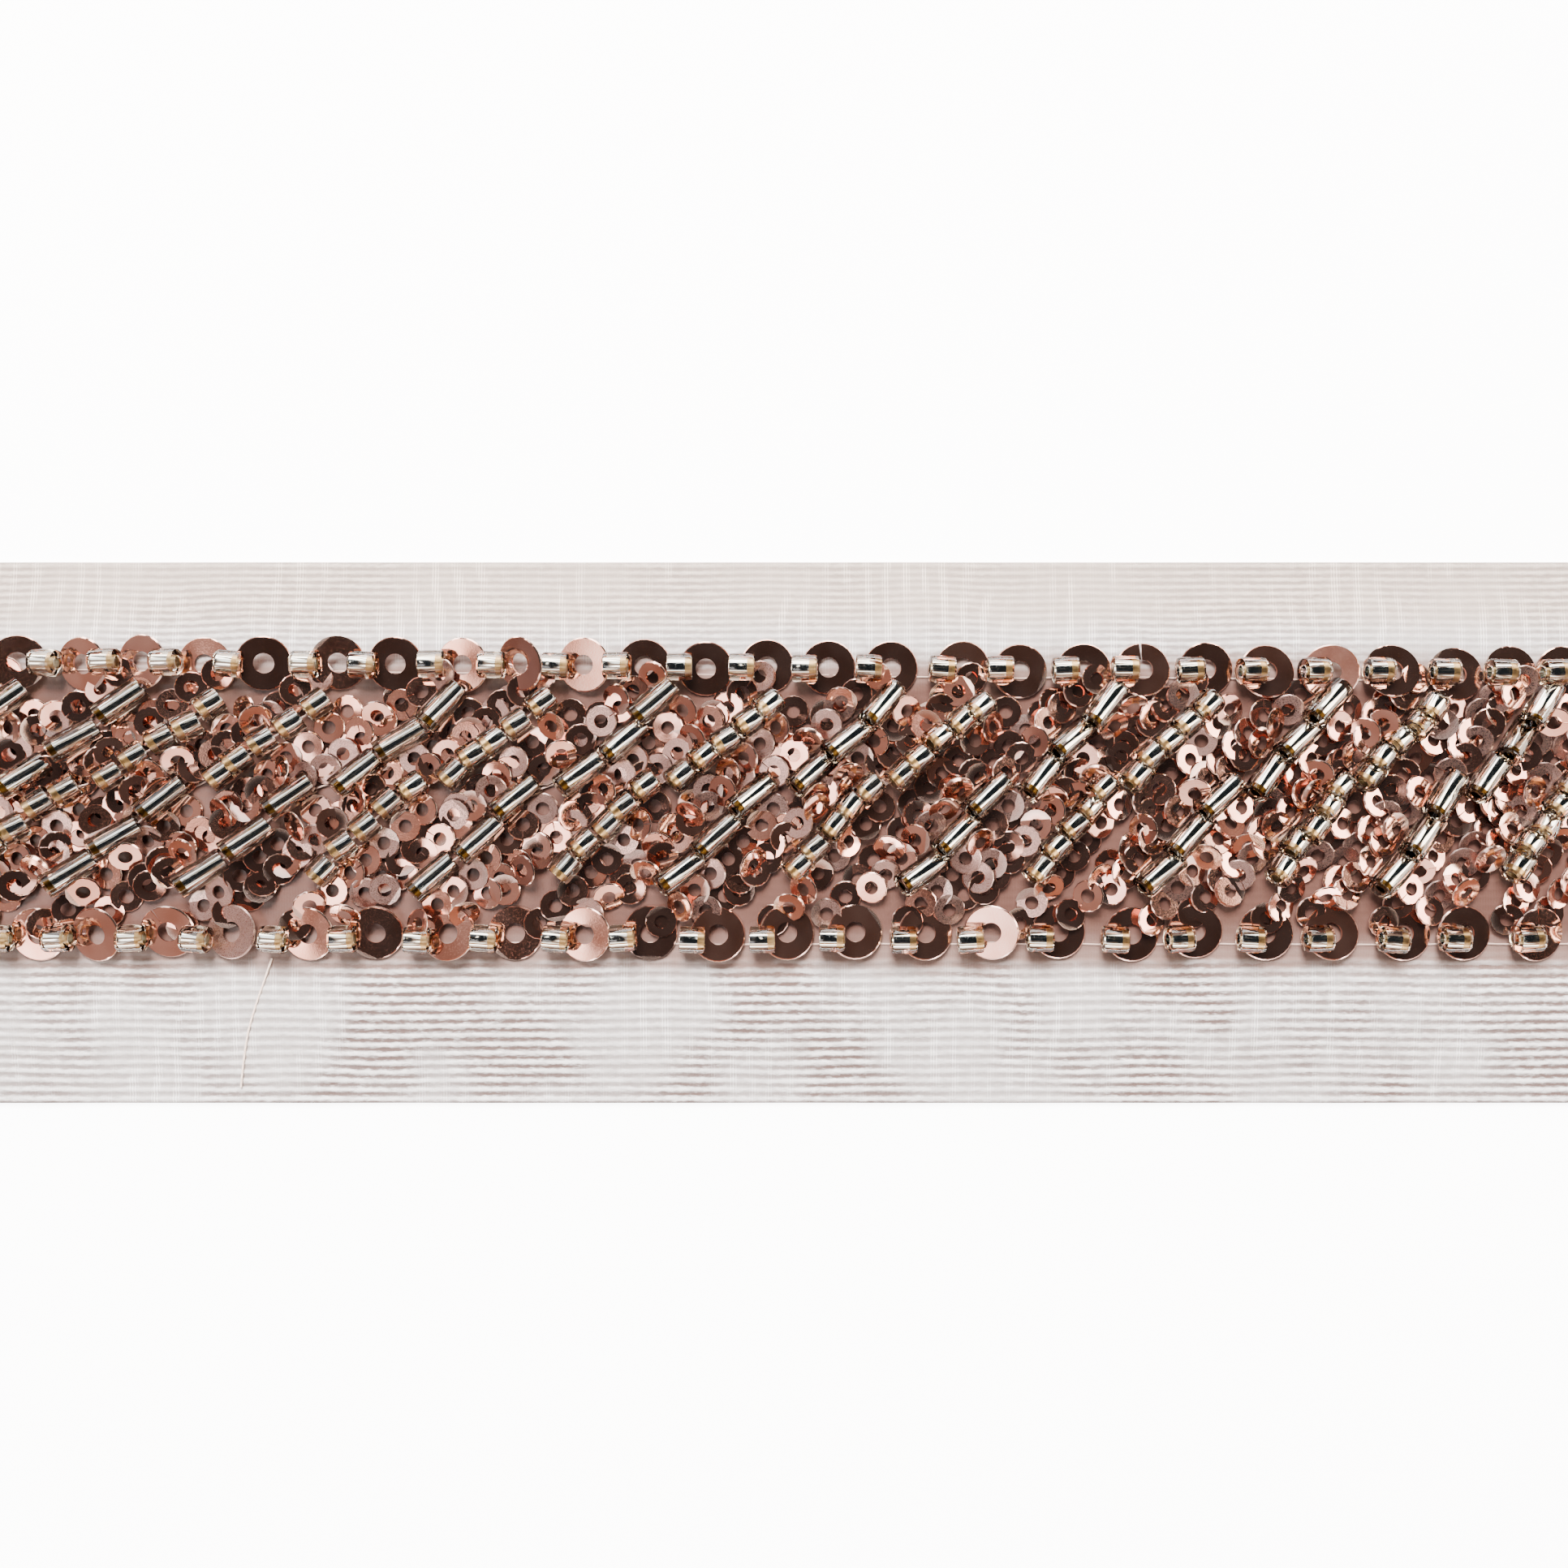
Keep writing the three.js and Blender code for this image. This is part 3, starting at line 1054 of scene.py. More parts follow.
@dataclass
class GroundCloth:
    """The tape: one thin sheer sheet, flat at its margins and lifted a little under the beadwork.

    Lengths are in millimetres. The sides are how far in from its lower and upper edges the cloth rises.
    The pucker is the trough that the lower border's thread draws in. The waves make it uneven.
    """

    thickness: float = 0.16
    edge_top: float = 0.3
    lower_side: float = 9.0
    upper_side: float = 6.0
    columns: int = 150
    column_wave: float = 0.12
    unevenness: float = 0.05
    pucker: float = 0.12
    pucker_y: float = -9.9
    pucker_half: float = 0.9
    calm_edge: float = 2.0
    wave_count: int = 7
    wave_lengths: tuple[float, float] = (9.0, 46.0)
    wave_skew: float = 0.8
    stretches: tuple[Ribs, ...] = (
        Ribs(from_y=-20.0, pitch=0.70, height=0.11, rows=5),
        Ribs(from_y=-9.1, pitch=0.60, height=0.05, rows=3),
        Ribs(from_y=13.7, pitch=0.52, height=0.05, rows=5),
    )
    seed: int = 11

    def rows(self) -> list[tuple[float, float, float]]:
        """Lists the rows of points across the tape.

        Returns:
            For each row its place across, the height of its rib there, and the share of a crest.
        """
        found = []
        ends = [stretch.from_y for stretch in self.stretches[1:]] + [TAPE_WIDTH / 2]
        for stretch, end in zip(self.stretches, ends):
            ribs = round((end - stretch.from_y) / stretch.pitch)
            count = ribs * stretch.rows
            for step in range(count):
                share = step / count
                y = stretch.from_y + share * (end - stretch.from_y)
                crest = 0.5 - 0.5 * math.cos(math.tau * step / stretch.rows)
                found.append((y, stretch.height, crest))
        found.append((TAPE_WIDTH / 2, 0.0, 0.0))
        return found

    def lift(self, y: np.ndarray) -> np.ndarray:
        """Returns the height of the cloth's middle line across the tape, in millimetres."""
        low = np.clip((y + TAPE_WIDTH / 2) / self.lower_side, 0.0, 1.0)
        high = np.clip((TAPE_WIDTH / 2 - y) / self.upper_side, 0.0, 1.0)
        share = np.minimum(low * low * (3 - 2 * low), high * high * (3 - 2 * high))
        return self.edge_top + (CLOTH_TOP - self.edge_top) * share

    def waves(self, x: np.ndarray, y: np.ndarray) -> np.ndarray:
        """Adds up slow waves that no two parts of the cloth share.

        Args:
            x: Places along the tape.
            y: Places across the tape.

        Returns:
            Values from about -1 to 1.
        """
        draw = random.Random(self.seed)
        total = np.zeros_like(x)
        for _ in range(self.wave_count):
            length = draw.uniform(*self.wave_lengths)
            skew = draw.uniform(-self.wave_skew, self.wave_skew)
            phase = draw.uniform(0.0, math.tau)
            total = total + np.sin(math.tau * (x + skew * y) / length + phase)
        return total / 4.0

    def shaped(self) -> tuple[np.ndarray, np.ndarray]:
        """Works out the upper face of the cloth.

        Returns:
            The points in millimetres, and the share of a rib's crest at each, both by row and column.
        """
        row_y, height, crest = np.array(self.rows()).T
        half = TAPE_LENGTH / 2
        x, y = np.meshgrid(np.linspace(-half, half, self.columns + 1), row_y)
        crest = crest[:, None] * np.ones_like(x)
        slow = self.waves(x, y)
        strength = 0.72 + 0.28 * np.clip(self.waves(x * 2.1 + 31.0, y * 3.0), -1.0, 1.0)
        trough = np.exp(-(((y - self.pucker_y) / self.pucker_half) ** 2))
        trough = trough * (0.6 + 0.4 * self.waves(x * 5.0, y))
        z = self.lift(y) + slow * self.unevenness
        z = z + crest * height[:, None] * strength - trough * self.pucker
        from_edge = np.minimum(half - np.abs(x), TAPE_WIDTH / 2 - np.abs(y))
        shift = slow * self.column_wave * np.minimum(1.0, from_edge / self.calm_edge)
        return np.stack([x, y + shift, z], axis=-1), crest

    def make(self, material: bpy.types.Material) -> None:
        """Args:
            material: The organza finish.
        """
        points, crest = self.shaped()
        rows, wide = crest.shape
        faces = [
            (row * wide + col, row * wide + col + 1, (row + 1) * wide + col + 1, (row + 1) * wide + col)
            for row in range(rows - 1)
            for col in range(wide - 1)
        ]
        mesh = bpy.data.meshes.new("organza_tape")
        mesh.from_pydata((points.reshape(-1, 3) * MM).tolist(), [], faces)
        item = bpy.data.objects.new("organza_tape", mesh)
        mark(item, "rib", crest)
        bpy.context.scene.collection.objects.link(item)
        pick(item)
        bpy.ops.object.shade_smooth()
        wall = item.modifiers.new("wall", "SOLIDIFY")
        wall.thickness = self.thickness * MM
        wall.offset = -1.0
        bpy.ops.object.modifier_apply(modifier=wall.name)
        mesh.materials.append(material)
        hand_over(item, "organza", "ground_cloth")


@dataclass(frozen=True)
class BorderString:
    """A line of large sequins along one side, each with a seed bead on its left part.

    Lengths are in millimetres. The climb is how far the line goes up for each one of them along X. The lies
    hold one letter of Lie for each sequin, and the nudges how far each is off its even step. A bead lies
    before its sequin, and nearer to it towards +X. Its slope and its dip are a mean and a spread in
    degrees. The margin before a sequin is the room that it needs for its bead.
    """

    name: str
    first_x: float
    pitch: float
    line_y: float
    climb: float
    bead_y: float
    lies: str
    nudges: tuple[float, ...]
    seed: int
    scatter: float = 0.12
    sequin_rise: float = 0.08
    bead_before: float = 1.8
    bead_nearer: float = 0.013
    bead_rise: float = 0.25
    bead_scatter: float = 0.08
    bead_slope: tuple[float, float] = (180.0, 2.5)
    bead_dip: tuple[float, float] = (0.0, 3.0)
    margin_before: float = 3.2

    def sequin_x(self, index: int) -> float:
        """Returns the centre of one sequin along the tape, counted from the first in the table."""
        nudge = self.nudges[index] if 0 <= index < len(self.nudges) else 0.0
        return self.first_x + index * self.pitch + nudge

    def indices(self) -> list[int]:
        """Returns the numbers of the sequins that fit between the tape's cut ends."""
        reach = TAPE_LENGTH / 2 - END_MARGIN
        span = range(-2, len(self.lies) + 3)
        radius = LARGE_SEQUIN.diameter / 2
        starts = [(n, self.sequin_x(n)) for n in span]
        return [n for n, x in starts if -reach <= x - self.margin_before and x + radius <= reach]

    def make(self, sequins: SequinStock, beads: BeadStock) -> None:
        """Lays the string.

        Args:
            sequins: The large sequins.
            beads: The bead models.
        """
        draw = random.Random(self.seed)
        discs: list[bpy.types.Object] = []
        spots: list[BeadSpot] = []
        for index in self.indices():
            x = self.sequin_x(index)
            y = self.line_y + self.climb * x
            lie = Lie(self.lies[index]) if 0 <= index < len(self.lies) else Lie.FLAT
            disc_y = y + draw.uniform(-self.scatter, self.scatter)
            discs.append(sequins.laid(draw, lie, x, disc_y, CLOTH_TOP + self.sequin_rise))
            bead_x = x - self.bead_before + self.bead_nearer * x
            slope = draw.gauss(*self.bead_slope)
            height = CLOTH_TOP + SEED.diameter / 2 + self.bead_rise
            bead_y = y + self.bead_y + draw.uniform(-self.bead_scatter, self.bead_scatter)
            dip = draw.gauss(*self.bead_dip)
            spots.append(BeadSpot(BeadKind.SEED, bead_x, bead_y, height, slope, dip))
        hand_over(gathered(discs, f"{self.name}_sequins"), "large_sequins", self.name)
        lay_beads(beads, spots, self.name, draw)


UPPER_BORDER = BorderString(
    name="border_upper",
    first_x=-55.34,
    pitch=4.52,
    line_y=12.1,
    climb=-0.0072,
    bead_y=0.0,
    lies="dwpkgggwrwkgkkkkkkdkdpddkk",
    nudges=(
        -0.65, -0.35, -0.6, -0.75, -0.7, 0.2, -0.2, 0.2, 0.0, 0.05, -0.1, -0.1, -0.15,
        -0.15, -0.1, 0.65, 0.3, 0.45, 0.2, 0.35, 0.25, 0.25, 0.35, 0.5, 0.05, -0.65,
    ),
    seed=21,
)
LOWER_BORDER = BorderString(
    name="border_lower",
    first_x=-54.66,
    pitch=4.985,
    line_y=-7.3,
    climb=0.0,
    bead_y=-0.35,
    lies="gwgcwgdkwkddddpkkkkdkkg",
    nudges=(
        0.1, -0.55, -0.25, -0.65, -0.1, -0.1, 0.25, 0.05, 0.2, 0.0, 0.0, 0.05,
        0.05, 0.2, 0.0, 0.0, 0.4, 0.05, 0.2, 0.0, 0.4, -0.2, 0.1,
    ),
    seed=22,
)
BORDERS = (UPPER_BORDER, LOWER_BORDER)


@dataclass(frozen=True)
class Stop:
    """A bead's place on the middle run: from the run's first bead along X, across the tape, and slope."""

    x: float
    y: float
    slope: float


BUGLE_STOPS = (
    Stop(0.1, 9.4, 48),
    Stop(-2.2, 6.9, 40),
    Stop(-5.05, 4.3, 44),
    Stop(-9.2, 2.65, 46),
    Stop(-11.9, -0.3, 46),
    Stop(-14.7, -3.0, 42),
)
SEED_STOPS = (
    Stop(0.0, 9.3, 42),
    Stop(-1.4, 8.0, 40),
    Stop(-3.0, 6.8, 40),
    Stop(-4.5, 5.5, 42),
    Stop(-5.8, 4.2, 46),
    Stop(-8.4, 3.3, 42),
    Stop(-9.9, 2.0, 45),
    Stop(-11.2, 0.5, 46),
    Stop(-12.7, -0.9, 46),
    Stop(-14.0, -2.5, 50),
)
UPPER_BUGLES = 3
UPPER_SEEDS = 5


def fan_of(index: float) -> float:
    """Returns how wide a run or band spreads along X, where the middle run is 1."""
    return 1.0 - FAN_SHARE * (index - RUN_MIDDLE)


@dataclass(frozen=True)
class BeadRun:
    """One slanted run: bugles, seeds, or seeds above bugles, and how far it stands off its even step.

    The scatter is in millimetres along and across the tape and the rise over the cloth. The sway and the
    dip are a mean and a spread in degrees.
    """

    index: int
    upper: BeadKind
    lower: BeadKind
    shift: float
    scatter: float = 0.2
    rise: tuple[float, float] = (0.12, 0.3)
    sway: tuple[float, float] = (-2.5, 3.5)
    dip: tuple[float, float] = (18.0, 3.0)

    @property
    def start_x(self) -> float:
        """The place of the run's first bead along the tape."""
        return RUN_FIRST_X + self.index * RUN_PITCH + self.shift

    @property
    def node(self) -> str:
        """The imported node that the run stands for."""
        return f"bead_run_{self.index + 1:02d}"

    def stops(self) -> list[tuple[BeadKind, Stop]]:
        """Returns the kind and place of each bead of the run, from its upper right end."""
        tops = SEED_STOPS[:UPPER_SEEDS] if self.upper is BeadKind.SEED else BUGLE_STOPS[:UPPER_BUGLES]
        tails = SEED_STOPS[UPPER_SEEDS:] if self.lower is BeadKind.SEED else BUGLE_STOPS[UPPER_BUGLES:]
        return [(self.upper, stop) for stop in tops] + [(self.lower, stop) for stop in tails]

    def spots(self, draw: random.Random) -> list[BeadSpot]:
        """Works out where the beads lie on the trim.

        Args:
            draw: The source of their small differences.

        Returns:
            The beads' spots, without those past the tape's cut ends.
        """
        fan = fan_of(self.index)
        reach = TAPE_LENGTH / 2 - END_MARGIN
        found = []
        for kind, stop in self.stops():
            model = SEED if kind is BeadKind.SEED else BUGLE
            turn = math.radians(stop.slope)
            slope = math.degrees(math.atan2(math.sin(turn), math.cos(turn) * math.sqrt(fan)))
            slope += draw.gauss(*self.sway)
            x = self.start_x + stop.x * fan + draw.uniform(-self.scatter, self.scatter)
            y = stop.y + draw.uniform(-self.scatter, self.scatter)
            height = CLOTH_TOP + model.diameter / 2 + draw.uniform(*self.rise)
            dip = draw.gauss(*self.dip)
            half = (model.length * math.cos(math.radians(slope)) + model.diameter) / 2
            if abs(x) + half <= reach:
                found.append(BeadSpot(kind, x, y, height, slope, dip))
        return found

    def make(self, beads: BeadStock) -> list[BeadSpot]:
        """Lays the run.

        Args:
            beads: The bead models.

        Returns:
            The beads' spots, for the thread that holds them.
        """
        draw = random.Random(RUN_SEED + self.index)
        spots = self.spots(draw)
        lay_beads(beads, spots, self.node, draw)
        return spots


# For each run from the left its upper kind, its lower kind, and how far it stands off its even step
B = BeadKind.BUGLE
S = BeadKind.SEED
RUN_ROWS = (
    (B, B, 0.0), (B, B, 0.5), (S, S, -0.55), (S, B, -1.0), (B, B, 0.0), (S, S, -0.65),
    (B, B, -0.3), (S, S, -0.25), (B, B, 0.0), (S, S, -0.7), (B, B, 0.25), (S, S, -0.35),
    (B, B, 0.45), (S, S, 0.1), (B, B, 0.0), (S, S, 0.0), (B, B, 0.0),
)
RUNS = tuple(BeadRun(index, *row) for index, row in enumerate(RUN_ROWS))


@dataclass(frozen=True)
class Tier:
    """The line that the runs follow in one tier, counted from a run's first bead on the middle run.

    The count and the step across the tape are those of its small sequins.
    """

    top_x: float
    top_y: float
    foot_x: float
    foot_y: float
    count: int
    step: float

    def x_at(self, y: float) -> float:
        """Returns the line's place along X at a place across the tape."""
        share = (self.top_y - y) / (self.top_y - self.foot_y)
        return self.top_x + share * (self.foot_x - self.top_x)


TIERS = (
    Tier(top_x=0.9, top_y=10.2, foot_x=-6.0, foot_y=3.6, count=7, step=1.15),
    Tier(top_x=-8.8, top_y=3.1, foot_x=-16.6, foot_y=-4.9, count=8, step=1.2),
)


@dataclass(frozen=True)
class SequinBand:
    """The small sequins between two runs: two overlapping lines, one along either run, over a third.

    Lengths are in millimetres. The rises are how high the middle, the left and the right line lie over
    the cloth, and every other sequin of a line lies higher by the overlap's rise.
    """

    index: int
    beside_run: float = 1.78
    middle_off: float = 0.45
    rises: tuple[float, float, float] = (0.02, 0.10, 0.22)
    overlap_rise: float = 0.12
    scatter: float = 0.18

    @property
    def node(self) -> str:
        """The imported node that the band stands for."""
        return f"sequin_band_{self.index + 2:02d}"

    def run_x(self, index: int) -> float:
        """Returns the start of a run along X, also of one past the ends of the trim."""
        shift = RUNS[index].shift if 0 <= index < RUN_COUNT else 0.0
        return RUN_FIRST_X + index * RUN_PITCH + shift

    def line(self, tier: Tier, side: int) -> list[Vector]:
        """Works out the centres of the line of sequins along one run.

        Args:
            tier: The tier that it lies in.
            side: 0 along the run on the left, 1 along the run on the right.

        Returns:
            The centres, from the upper right end.
        """
        run = self.index + side
        fan = fan_of(run)
        way = Vector((tier.foot_x * fan - tier.top_x * fan, tier.foot_y - tier.top_y)).normalized()
        off = Vector((-way.y, way.x)) * self.beside_run * (1 if side == 0 else -1)
        heights = [tier.top_y - order * tier.step for order in range(tier.count)]
        return [Vector((self.run_x(run) + tier.x_at(y) * fan, y)) + off for y in heights]

    def lines(self, tier: Tier) -> list[tuple[float, list[Vector]]]:
        """Works out all lines of one tier.

        Args:
            tier: The tier.

        Returns:
            For each line how high it lies over the cloth in millimetres, and its centres.
        """
        left, right = self.line(tier, 0), self.line(tier, 1)
        off = Vector((self.middle_off, -self.middle_off))
        middle = [(a + b) / 2 + off for a, b in zip(left, right)]
        return list(zip(self.rises, (middle, left, right)))

    def make(self, sequins: SequinStock) -> None:
        """Lays the band.

        Args:
            sequins: The small sequins.
        """
        draw = random.Random(BAND_SEED + self.index)
        reach = TAPE_LENGTH / 2 - END_MARGIN - SMALL_SEQUIN.diameter / 2
        discs = []
        for tier in TIERS:
            for rise, centres in self.lines(tier):
                for order, centre in enumerate(centres):
                    x = centre.x + draw.uniform(-self.scatter, self.scatter)
                    y = centre.y + draw.uniform(-self.scatter, self.scatter)
                    lie = self.lie_for(draw, x)
                    floor = CLOTH_TOP + rise + self.overlap_rise * (order % 2)
                    if abs(x) <= reach:
                        discs.append(sequins.laid(draw, lie, x, y, floor))
        hand_over(gathered(discs, f"{self.node}_film"), "small_sequins", self.node)

    def lie_for(self, draw: random.Random, x: float) -> Lie:
        """Draws a lie, with more warm ones towards both ends and fewer lit ones at the left.

        Args:
            draw: The source of the choice.
            x: The sequin's place along the tape.

        Returns:
            The lie.
        """
        right = min(1.0, max(0.0, (x - 12.0) / 26.0))
        left = min(1.0, max(0.0, (-x - 14.0) / 26.0))
        shares = {
            Lie.FLAT: 0.24 - 0.18 * right,
            Lie.ROCKED: 0.13 - 0.06 * right,
            Lie.TURNED: 0.08 + 0.04 * left,
            Lie.LIT: 0.10 - 0.07 * left,
            Lie.RAISED: 0.07 - 0.03 * left,
            Lie.STEEP: 0.21 - 0.09 * right,
            Lie.WORN: 0.18 - 0.10 * left - 0.05 * right,
            Lie.WARM: 0.02 + 0.56 * right + 0.14 * left,
        }
        return draw.choices(list(shares), list(shares.values()))[0]


@dataclass(frozen=True)
class Stitching:
    """The sewing threads: one through each run, one along each border, and a loose end on the margin.

    Lengths are in millimetres. A run's thread dives between its beads, and a border's zigzags from before
    each sequin to under it, below the line of the beads.
    """

    thickness: float = 0.14
    ring: int = 1
    dive: float = 0.15
    before: tuple[float, float, float] = (-2.4, -0.55, 0.1)
    under: tuple[float, float, float] = (0.0, -0.5, -0.05)
    scatter: float = 0.15
    loose_rise: float = 0.16
    loose_end: tuple[tuple[float, float], ...] = (
        (-37.6, -9.2),
        (-38.0, -10.4),
        (-38.8, -12.6),
        (-39.7, -15.4),
        (-40.1, -18.8),
    )

    def strand(self, name: str, points: Sequence[Point]) -> bpy.types.Object:
        """Makes one thread through a list of points.

        Args:
            name: The object's name.
            points: The points in millimetres.

        Returns:
            The thread as a mesh.
        """
        curve = bpy.data.curves.new(name, "CURVE")
        curve.dimensions = "3D"
        curve.bevel_depth = self.thickness / 2 * MM
        curve.bevel_resolution = self.ring
        curve.resolution_u = 3
        curve.use_fill_caps = True
        line = curve.splines.new("NURBS")
        line.points.add(len(points) - 1)
        for knot, point in zip(line.points, points):
            knot.co = (*(Vector(point) * MM), 1.0)
        line.use_endpoint_u = True
        line.order_u = 3
        item = bpy.data.objects.new(name, curve)
        bpy.context.scene.collection.objects.link(item)
        pick(item)
        bpy.ops.object.convert(target="MESH")
        return bpy.context.view_layer.objects.active

    def along_run(self, spots: Sequence[BeadSpot]) -> list[Point]:
        """Returns the points of a thread that dives into the cloth between two beads."""
        points: list[Point] = []
        for first, second in zip(spots, spots[1:]):
            middle = ((first.x + second.x) / 2, (first.y + second.y) / 2, CLOTH_TOP - self.dive)
            points.extend([(first.x, first.y, first.z), middle])
        last = spots[-1]
        points.append((last.x, last.y, last.z))
        return points

    def along_border(self, border: BorderString) -> list[Point]:
        """Returns the points of a border's thread, two for each sequin."""
        draw = random.Random(border.seed)
        points: list[Point] = []
        for index in border.indices():
            x = border.sequin_x(index)
            y = border.line_y + border.climb * x + border.bead_y
            aside = draw.uniform(-self.scatter, self.scatter)
            points.append((x + self.before[0], y + self.before[1], CLOTH_TOP + self.before[2]))
            points.append((x + self.under[0], y + self.under[1] + aside, CLOTH_TOP + self.under[2]))
        return points

    def loose(self) -> bpy.types.Object:
        """Makes the loose end, which lies on the lower margin and is brighter than the rest.

        Returns:
            The thread, with its brightness as an attribute.
        """
        cloth = GroundCloth()
        tail = [(x, y, float(cloth.lift(np.array(y))) + self.loose_rise) for x, y in self.loose_end]
        item = self.strand("loose_thread", tail)
        mark(item, "bright", np.ones(len(item.data.vertices)))
        return item

    def make(self, material: bpy.types.Material, runs: Sequence[Sequence[BeadSpot]]) -> None:
        """Lays all threads.

        Args:
            material: The thread finish.
            runs: The beads' spots of each run.
        """
        strands = [
            self.strand(f"thread_{number}", self.along_run(spots))
            for number, spots in enumerate(runs)
            if len(spots) > 1
        ]
        for border in BORDERS:
            strands.append(self.strand(f"{border.name}_thread", self.along_border(border)))
        strands.append(self.loose())
        piece = gathered(strands, "stitching_threads")
        piece.data.materials.clear()
        piece.data.materials.append(material)
        pick(piece)
        bpy.ops.object.shade_smooth()
        hand_over(piece, "thread")


@dataclass(frozen=True)
class SkyPatch:
    """One even patch of the sky: its middle and half size in degrees from straight up, and its light.

    The two angles go towards +X and +Y. Its edge fades over the soft width, in degrees.
    """

    middle: tuple[float, float]
    half: tuple[float, float]
    soft: float
    color: tuple[float, float, float] = (1.0, 0.97, 0.94)
    strength: float = 1.0

    def mask(self, board: NodeBoard, east: Feed, north: Feed) -> bpy.types.NodeSocket:
        """Makes the patch's shape.

        Args:
            board: The world's board.
            east: The angle towards +X in degrees.
            north: The angle towards +Y in degrees.

        Returns:
            A value that is 1 inside the patch and 0 outside.
        """
        shares = []
        for angle, middle, half in zip((east, north), self.middle, self.half):
            away = board.maths("ABSOLUTE", board.maths("SUBTRACT", angle, middle))
            shares.append(board.spread(away, half - self.soft / 2, half + self.soft / 2, 1.0, 0.0))
        return board.maths("MULTIPLY", *shares)


# The dark card overhead, the dim lights that show on it, and the lights around it
CARD = SkyPatch((20.5, 6.5), (34.5, 54.5), 3.0)
DIM_LIGHTS = (
    SkyPatch((24.0, -34.0), (12.0, 12.0), 8.0, (1.0, 0.72, 0.62), 0.07),
    SkyPatch((20.0, 16.0), (9.0, 9.0), 8.0, (1.0, 0.86, 0.78), 0.05),
    SkyPatch((-4.0, 28.0), (0.9, 15.0), 1.4, strength=4.0),
)
LIGHTS = (
    SkyPatch((-3.0, 75.0), (44.0, 14.0), 7.0, strength=14.0),
    SkyPatch((-27.0, -15.0), (9.5, 11.0), 6.0, (1.0, 0.95, 0.92), 7.0),
    SkyPatch((-34.0, 40.0), (16.0, 16.0), 8.0, (0.90, 0.96, 1.0), 3.4),
    SkyPatch((-40.0, -14.0), (26.0, 32.0), 22.0, (1.0, 0.84, 0.78), 0.25),
    SkyPatch((70.0, 12.0), (16.0, 34.0), 8.0, (1.0, 0.91, 0.78), 14.0),
    SkyPatch((66.0, -42.0), (8.0, 26.0), 4.0, strength=4.0),
    SkyPatch((4.0, -58.0), (36.0, 8.0), 5.0, (1.0, 0.94, 0.88), 3.0),
)


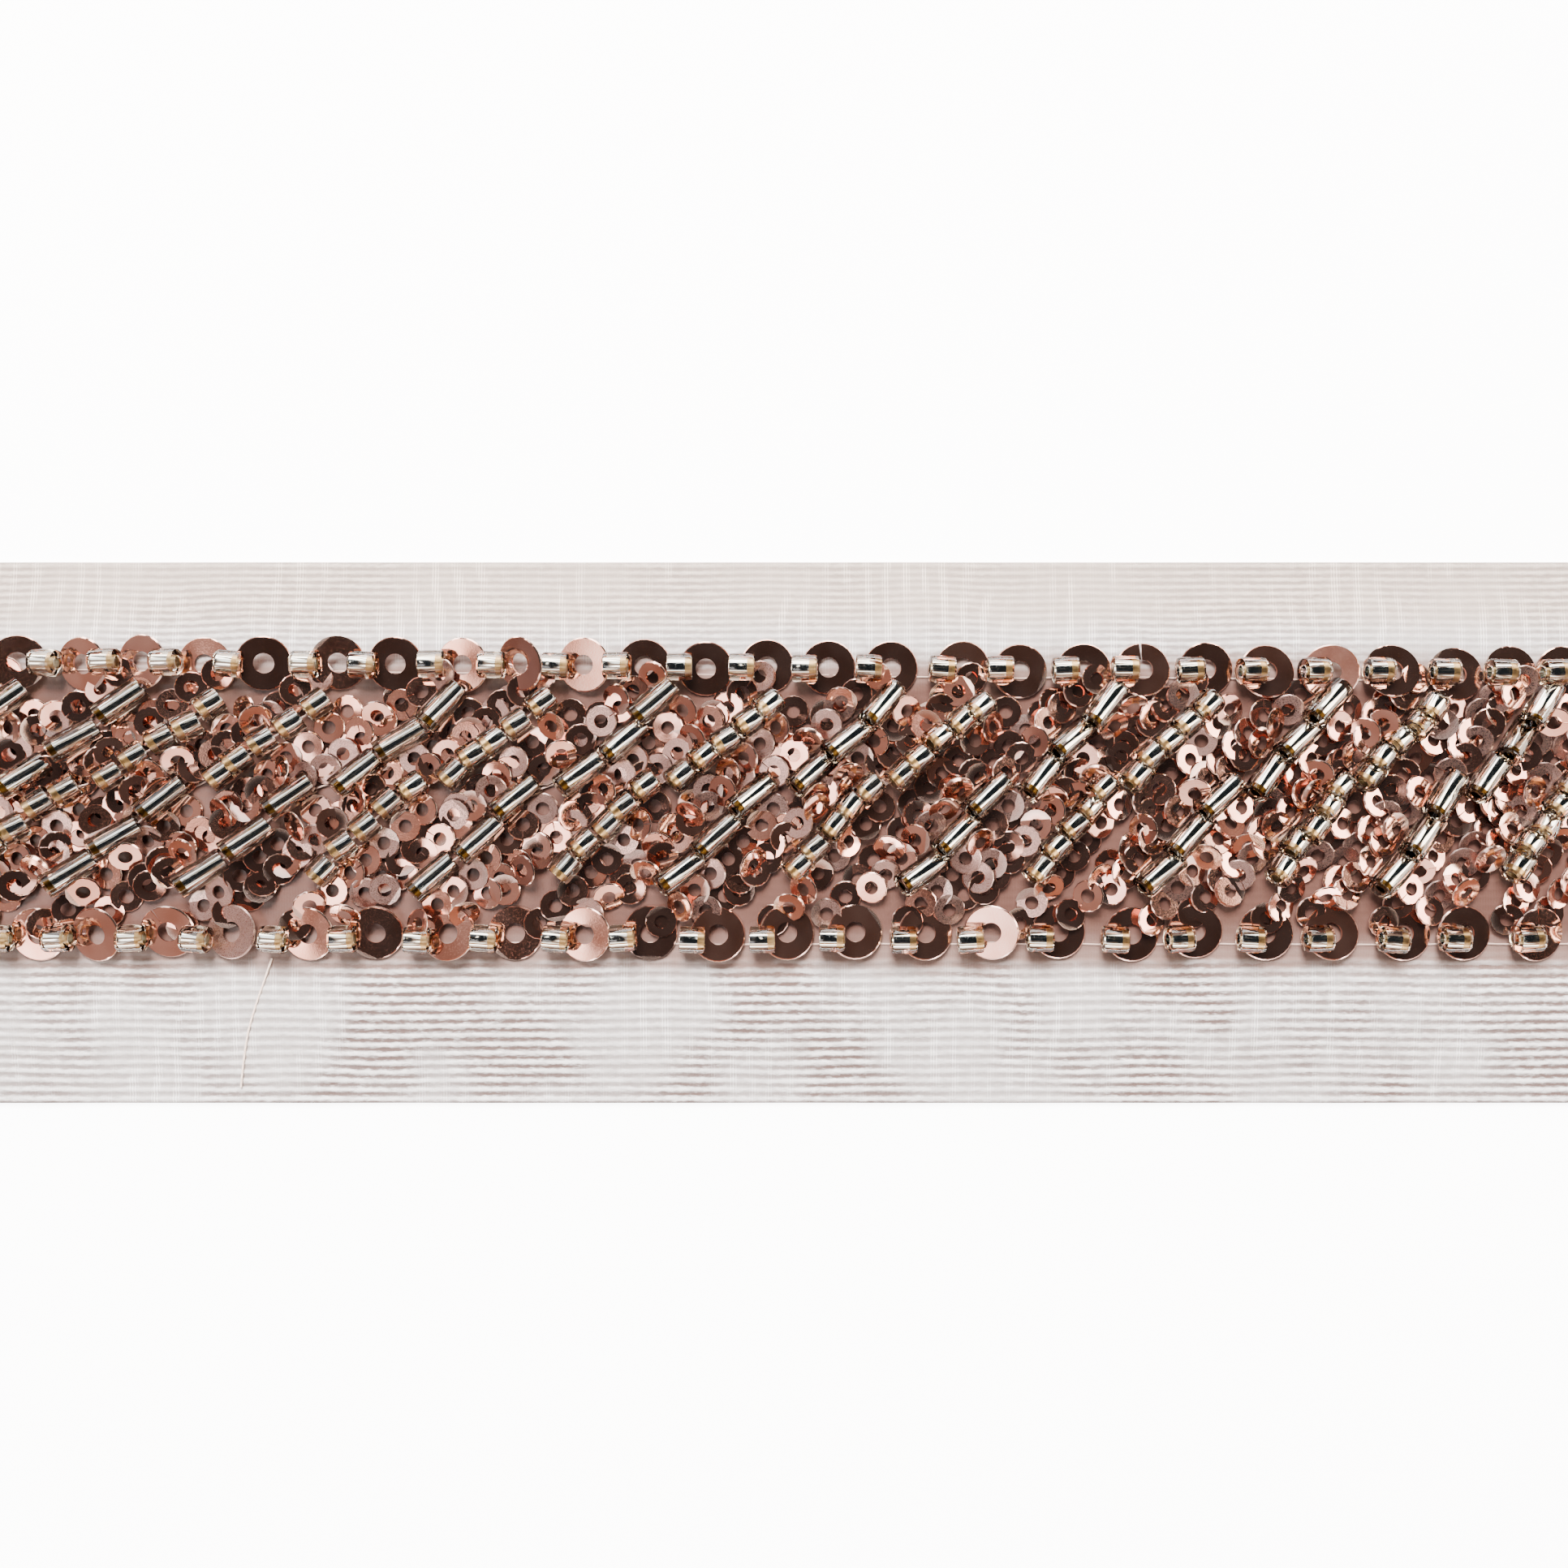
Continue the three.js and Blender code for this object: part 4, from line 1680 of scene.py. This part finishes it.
@dataclass(frozen=True)
class Studio:
    """A pale floor, a sky of soft lights around a dark card overhead, and the camera above the trim.

    Lengths are in millimetres, the lamp's power in watts. The view's width is measured at the height of
    the beadwork.
    """

    camera_height: float = 100.0
    camera_y: float = 3.6
    view_width: float = 114.83
    work_height: float = 1.3
    sensor: float = 36.0
    clip: tuple[float, float] = (10.0, 10000.0)
    floor_size: float = 3000.0
    floor_gap: float = 0.1
    floor_colors: tuple[Color, Color] = ((0.93, 0.93, 0.93, 1.0), (0.95, 0.95, 0.95, 1.0))
    floor_glow: float = 8.0
    lamp_place: Point = (-80.0, 420.0, 500.0)
    lamp_size: float = 300.0
    lamp_power: float = 25.0
    lamp_color: tuple[float, float, float] = (1.0, 0.95, 0.92)
    cool_side: Color = (0.28, 0.22, 0.22, 1.0)
    warm_side: Color = (0.78, 0.42, 0.28, 1.0)
    zenith: Color = (0.35, 0.25, 0.22, 1.0)
    card: Color = (0.017, 0.021, 0.025, 1.0)

    def make_camera(self) -> None:
        """Sets the camera straight above, so that the trim fills the picture's width."""
        lens = bpy.data.cameras.new("camera")
        lens.sensor_width = self.sensor
        lens.lens = self.sensor * (self.camera_height - self.work_height) / self.view_width
        lens.clip_start = self.clip[0] * MM
        lens.clip_end = self.clip[1] * MM
        item = bpy.data.objects.new("camera", lens)
        item.location = (0.0, self.camera_y * MM, self.camera_height * MM)
        bpy.context.scene.collection.objects.link(item)
        bpy.context.scene.camera = item

    def make_lamp(self) -> None:
        """Hangs a soft lamp beyond the upper edge, which lights the matt cloth and shows in no mirror."""
        light = bpy.data.lights.new("soft_lamp", "AREA")
        light.size = self.lamp_size * MM
        light.energy = self.lamp_power
        light.color = self.lamp_color
        item = bpy.data.objects.new("soft_lamp", light)
        item.location = Vector(self.lamp_place) * MM
        item.rotation_euler = Vector(self.lamp_place).to_track_quat("Z", "Y").to_euler()
        item.visible_glossy = False
        item.visible_transmission = False
        bpy.context.scene.collection.objects.link(item)

    def make_floor(self) -> None:
        """Lays the pale floor just below the tape."""
        deselect_all()
        bpy.ops.mesh.primitive_plane_add(
            size=self.floor_size * MM, location=(0.0, 0.0, -self.floor_gap * MM)
        )
        item = bpy.context.active_object
        item.name = "floor"
        material, board = new_material("pale_floor")
        place = board.millimetres()
        color = board.blend(board.noise(place, 0.01), *self.floor_colors)
        surface(
            board,
            Base_Color=color,
            Roughness=0.8,
            Emission_Color=(1.0, 1.0, 1.0, 1.0),
            Emission_Strength=self.floor_glow,
        )
        item.data.materials.append(material)

    def plain(self, board: NodeBoard, color: Color) -> bpy.types.NodeSocket:
        """Returns one even colour as a socket."""
        node = board.add("ShaderNodeRGB")
        node.outputs[0].default_value = color
        return node.outputs[0]

    def lit_by(
        self, board: NodeBoard, patches: Sequence[SkyPatch], base: Feed, east: Feed, north: Feed
    ) -> bpy.types.NodeSocket:
        """Adds patches of light to a colour.

        Args:
            board: The world's board.
            patches: The patches to add.
            base: The colour that they are added to.
            east: The angle towards +X in degrees.
            north: The angle towards +Y in degrees.

        Returns:
            The summed colour.
        """
        total = base
        for patch in patches:
            glow = board.maths("MULTIPLY", patch.mask(board, east, north), patch.strength)
            lit = board.add("ShaderNodeVectorMath", {0: patch.color, "Scale": glow}, operation="SCALE")
            added = board.add("ShaderNodeVectorMath", {0: total, 1: lit.outputs[0]}, operation="ADD")
            total = added.outputs[0]
        return total

    def make_sky(self) -> None:
        """Builds the light from the patches, over a dim warm surround."""
        world = bpy.data.worlds.new("studio")
        bpy.context.scene.world = world
        world.use_nodes = True
        board = NodeBoard(world.node_tree)
        way = board.add("ShaderNodeTexCoord").outputs["Generated"]
        axes = board.add("ShaderNodeSeparateXYZ", {0: way})
        x, y, up = axes.outputs[0], axes.outputs[1], axes.outputs[2]
        east = board.maths("MULTIPLY", board.maths("ARCTAN2", x, up), math.degrees(1.0))
        north = board.maths("MULTIPLY", board.maths("ARCTAN2", y, up), math.degrees(1.0))
        side = board.spread(board.maths("SUBTRACT", y, x), -0.5, 0.7)
        horizon = board.blend(side, self.warm_side, self.cool_side)
        open_sky = board.blend(board.spread(up, 0.1, 0.8), horizon, self.zenith)
        open_sky = self.lit_by(board, LIGHTS, open_sky, east, north)
        dim = self.lit_by(board, DIM_LIGHTS, self.plain(board, self.card), east, north)
        inside = CARD.mask(board, east, north)
        sky = board.add("ShaderNodeBackground", {"Color": board.blend(inside, open_sky, dim)})
        output = board.add("ShaderNodeOutputWorld")
        board.tree.links.new(sky.outputs[0], output.inputs["Surface"])


def main() -> None:
    """Builds the trim and its studio, piece by piece."""
    logging.basicConfig(level=logging.INFO, format="%(message)s")
    studio = Studio()
    studio.make_camera()
    studio.make_floor()
    studio.make_lamp()
    studio.make_sky()
    GroundCloth().make(OrganzaFinish().make())
    beads = BeadStock.drawn(GlassFinish().make(), SilverFinish().make())
    large = SequinStock.stamped(LARGE_SEQUIN, FilmFinish("large_sequins").make())
    small = SequinStock.stamped(SMALL_SEQUIN, FilmFinish("small_sequins").make())
    for border in BORDERS:
        border.make(large, beads)
    runs = [run.make(beads) for run in RUNS]
    for index in range(-1, RUN_COUNT - 1):
        SequinBand(index).make(small)
    Stitching().make(ThreadFinish().make(), runs)
    models = [*beads.glass.values(), *beads.silver.values(), *large.models, *small.models]
    for model in models:
        bpy.data.objects.remove(model)


if __name__ == "__main__":
    main()
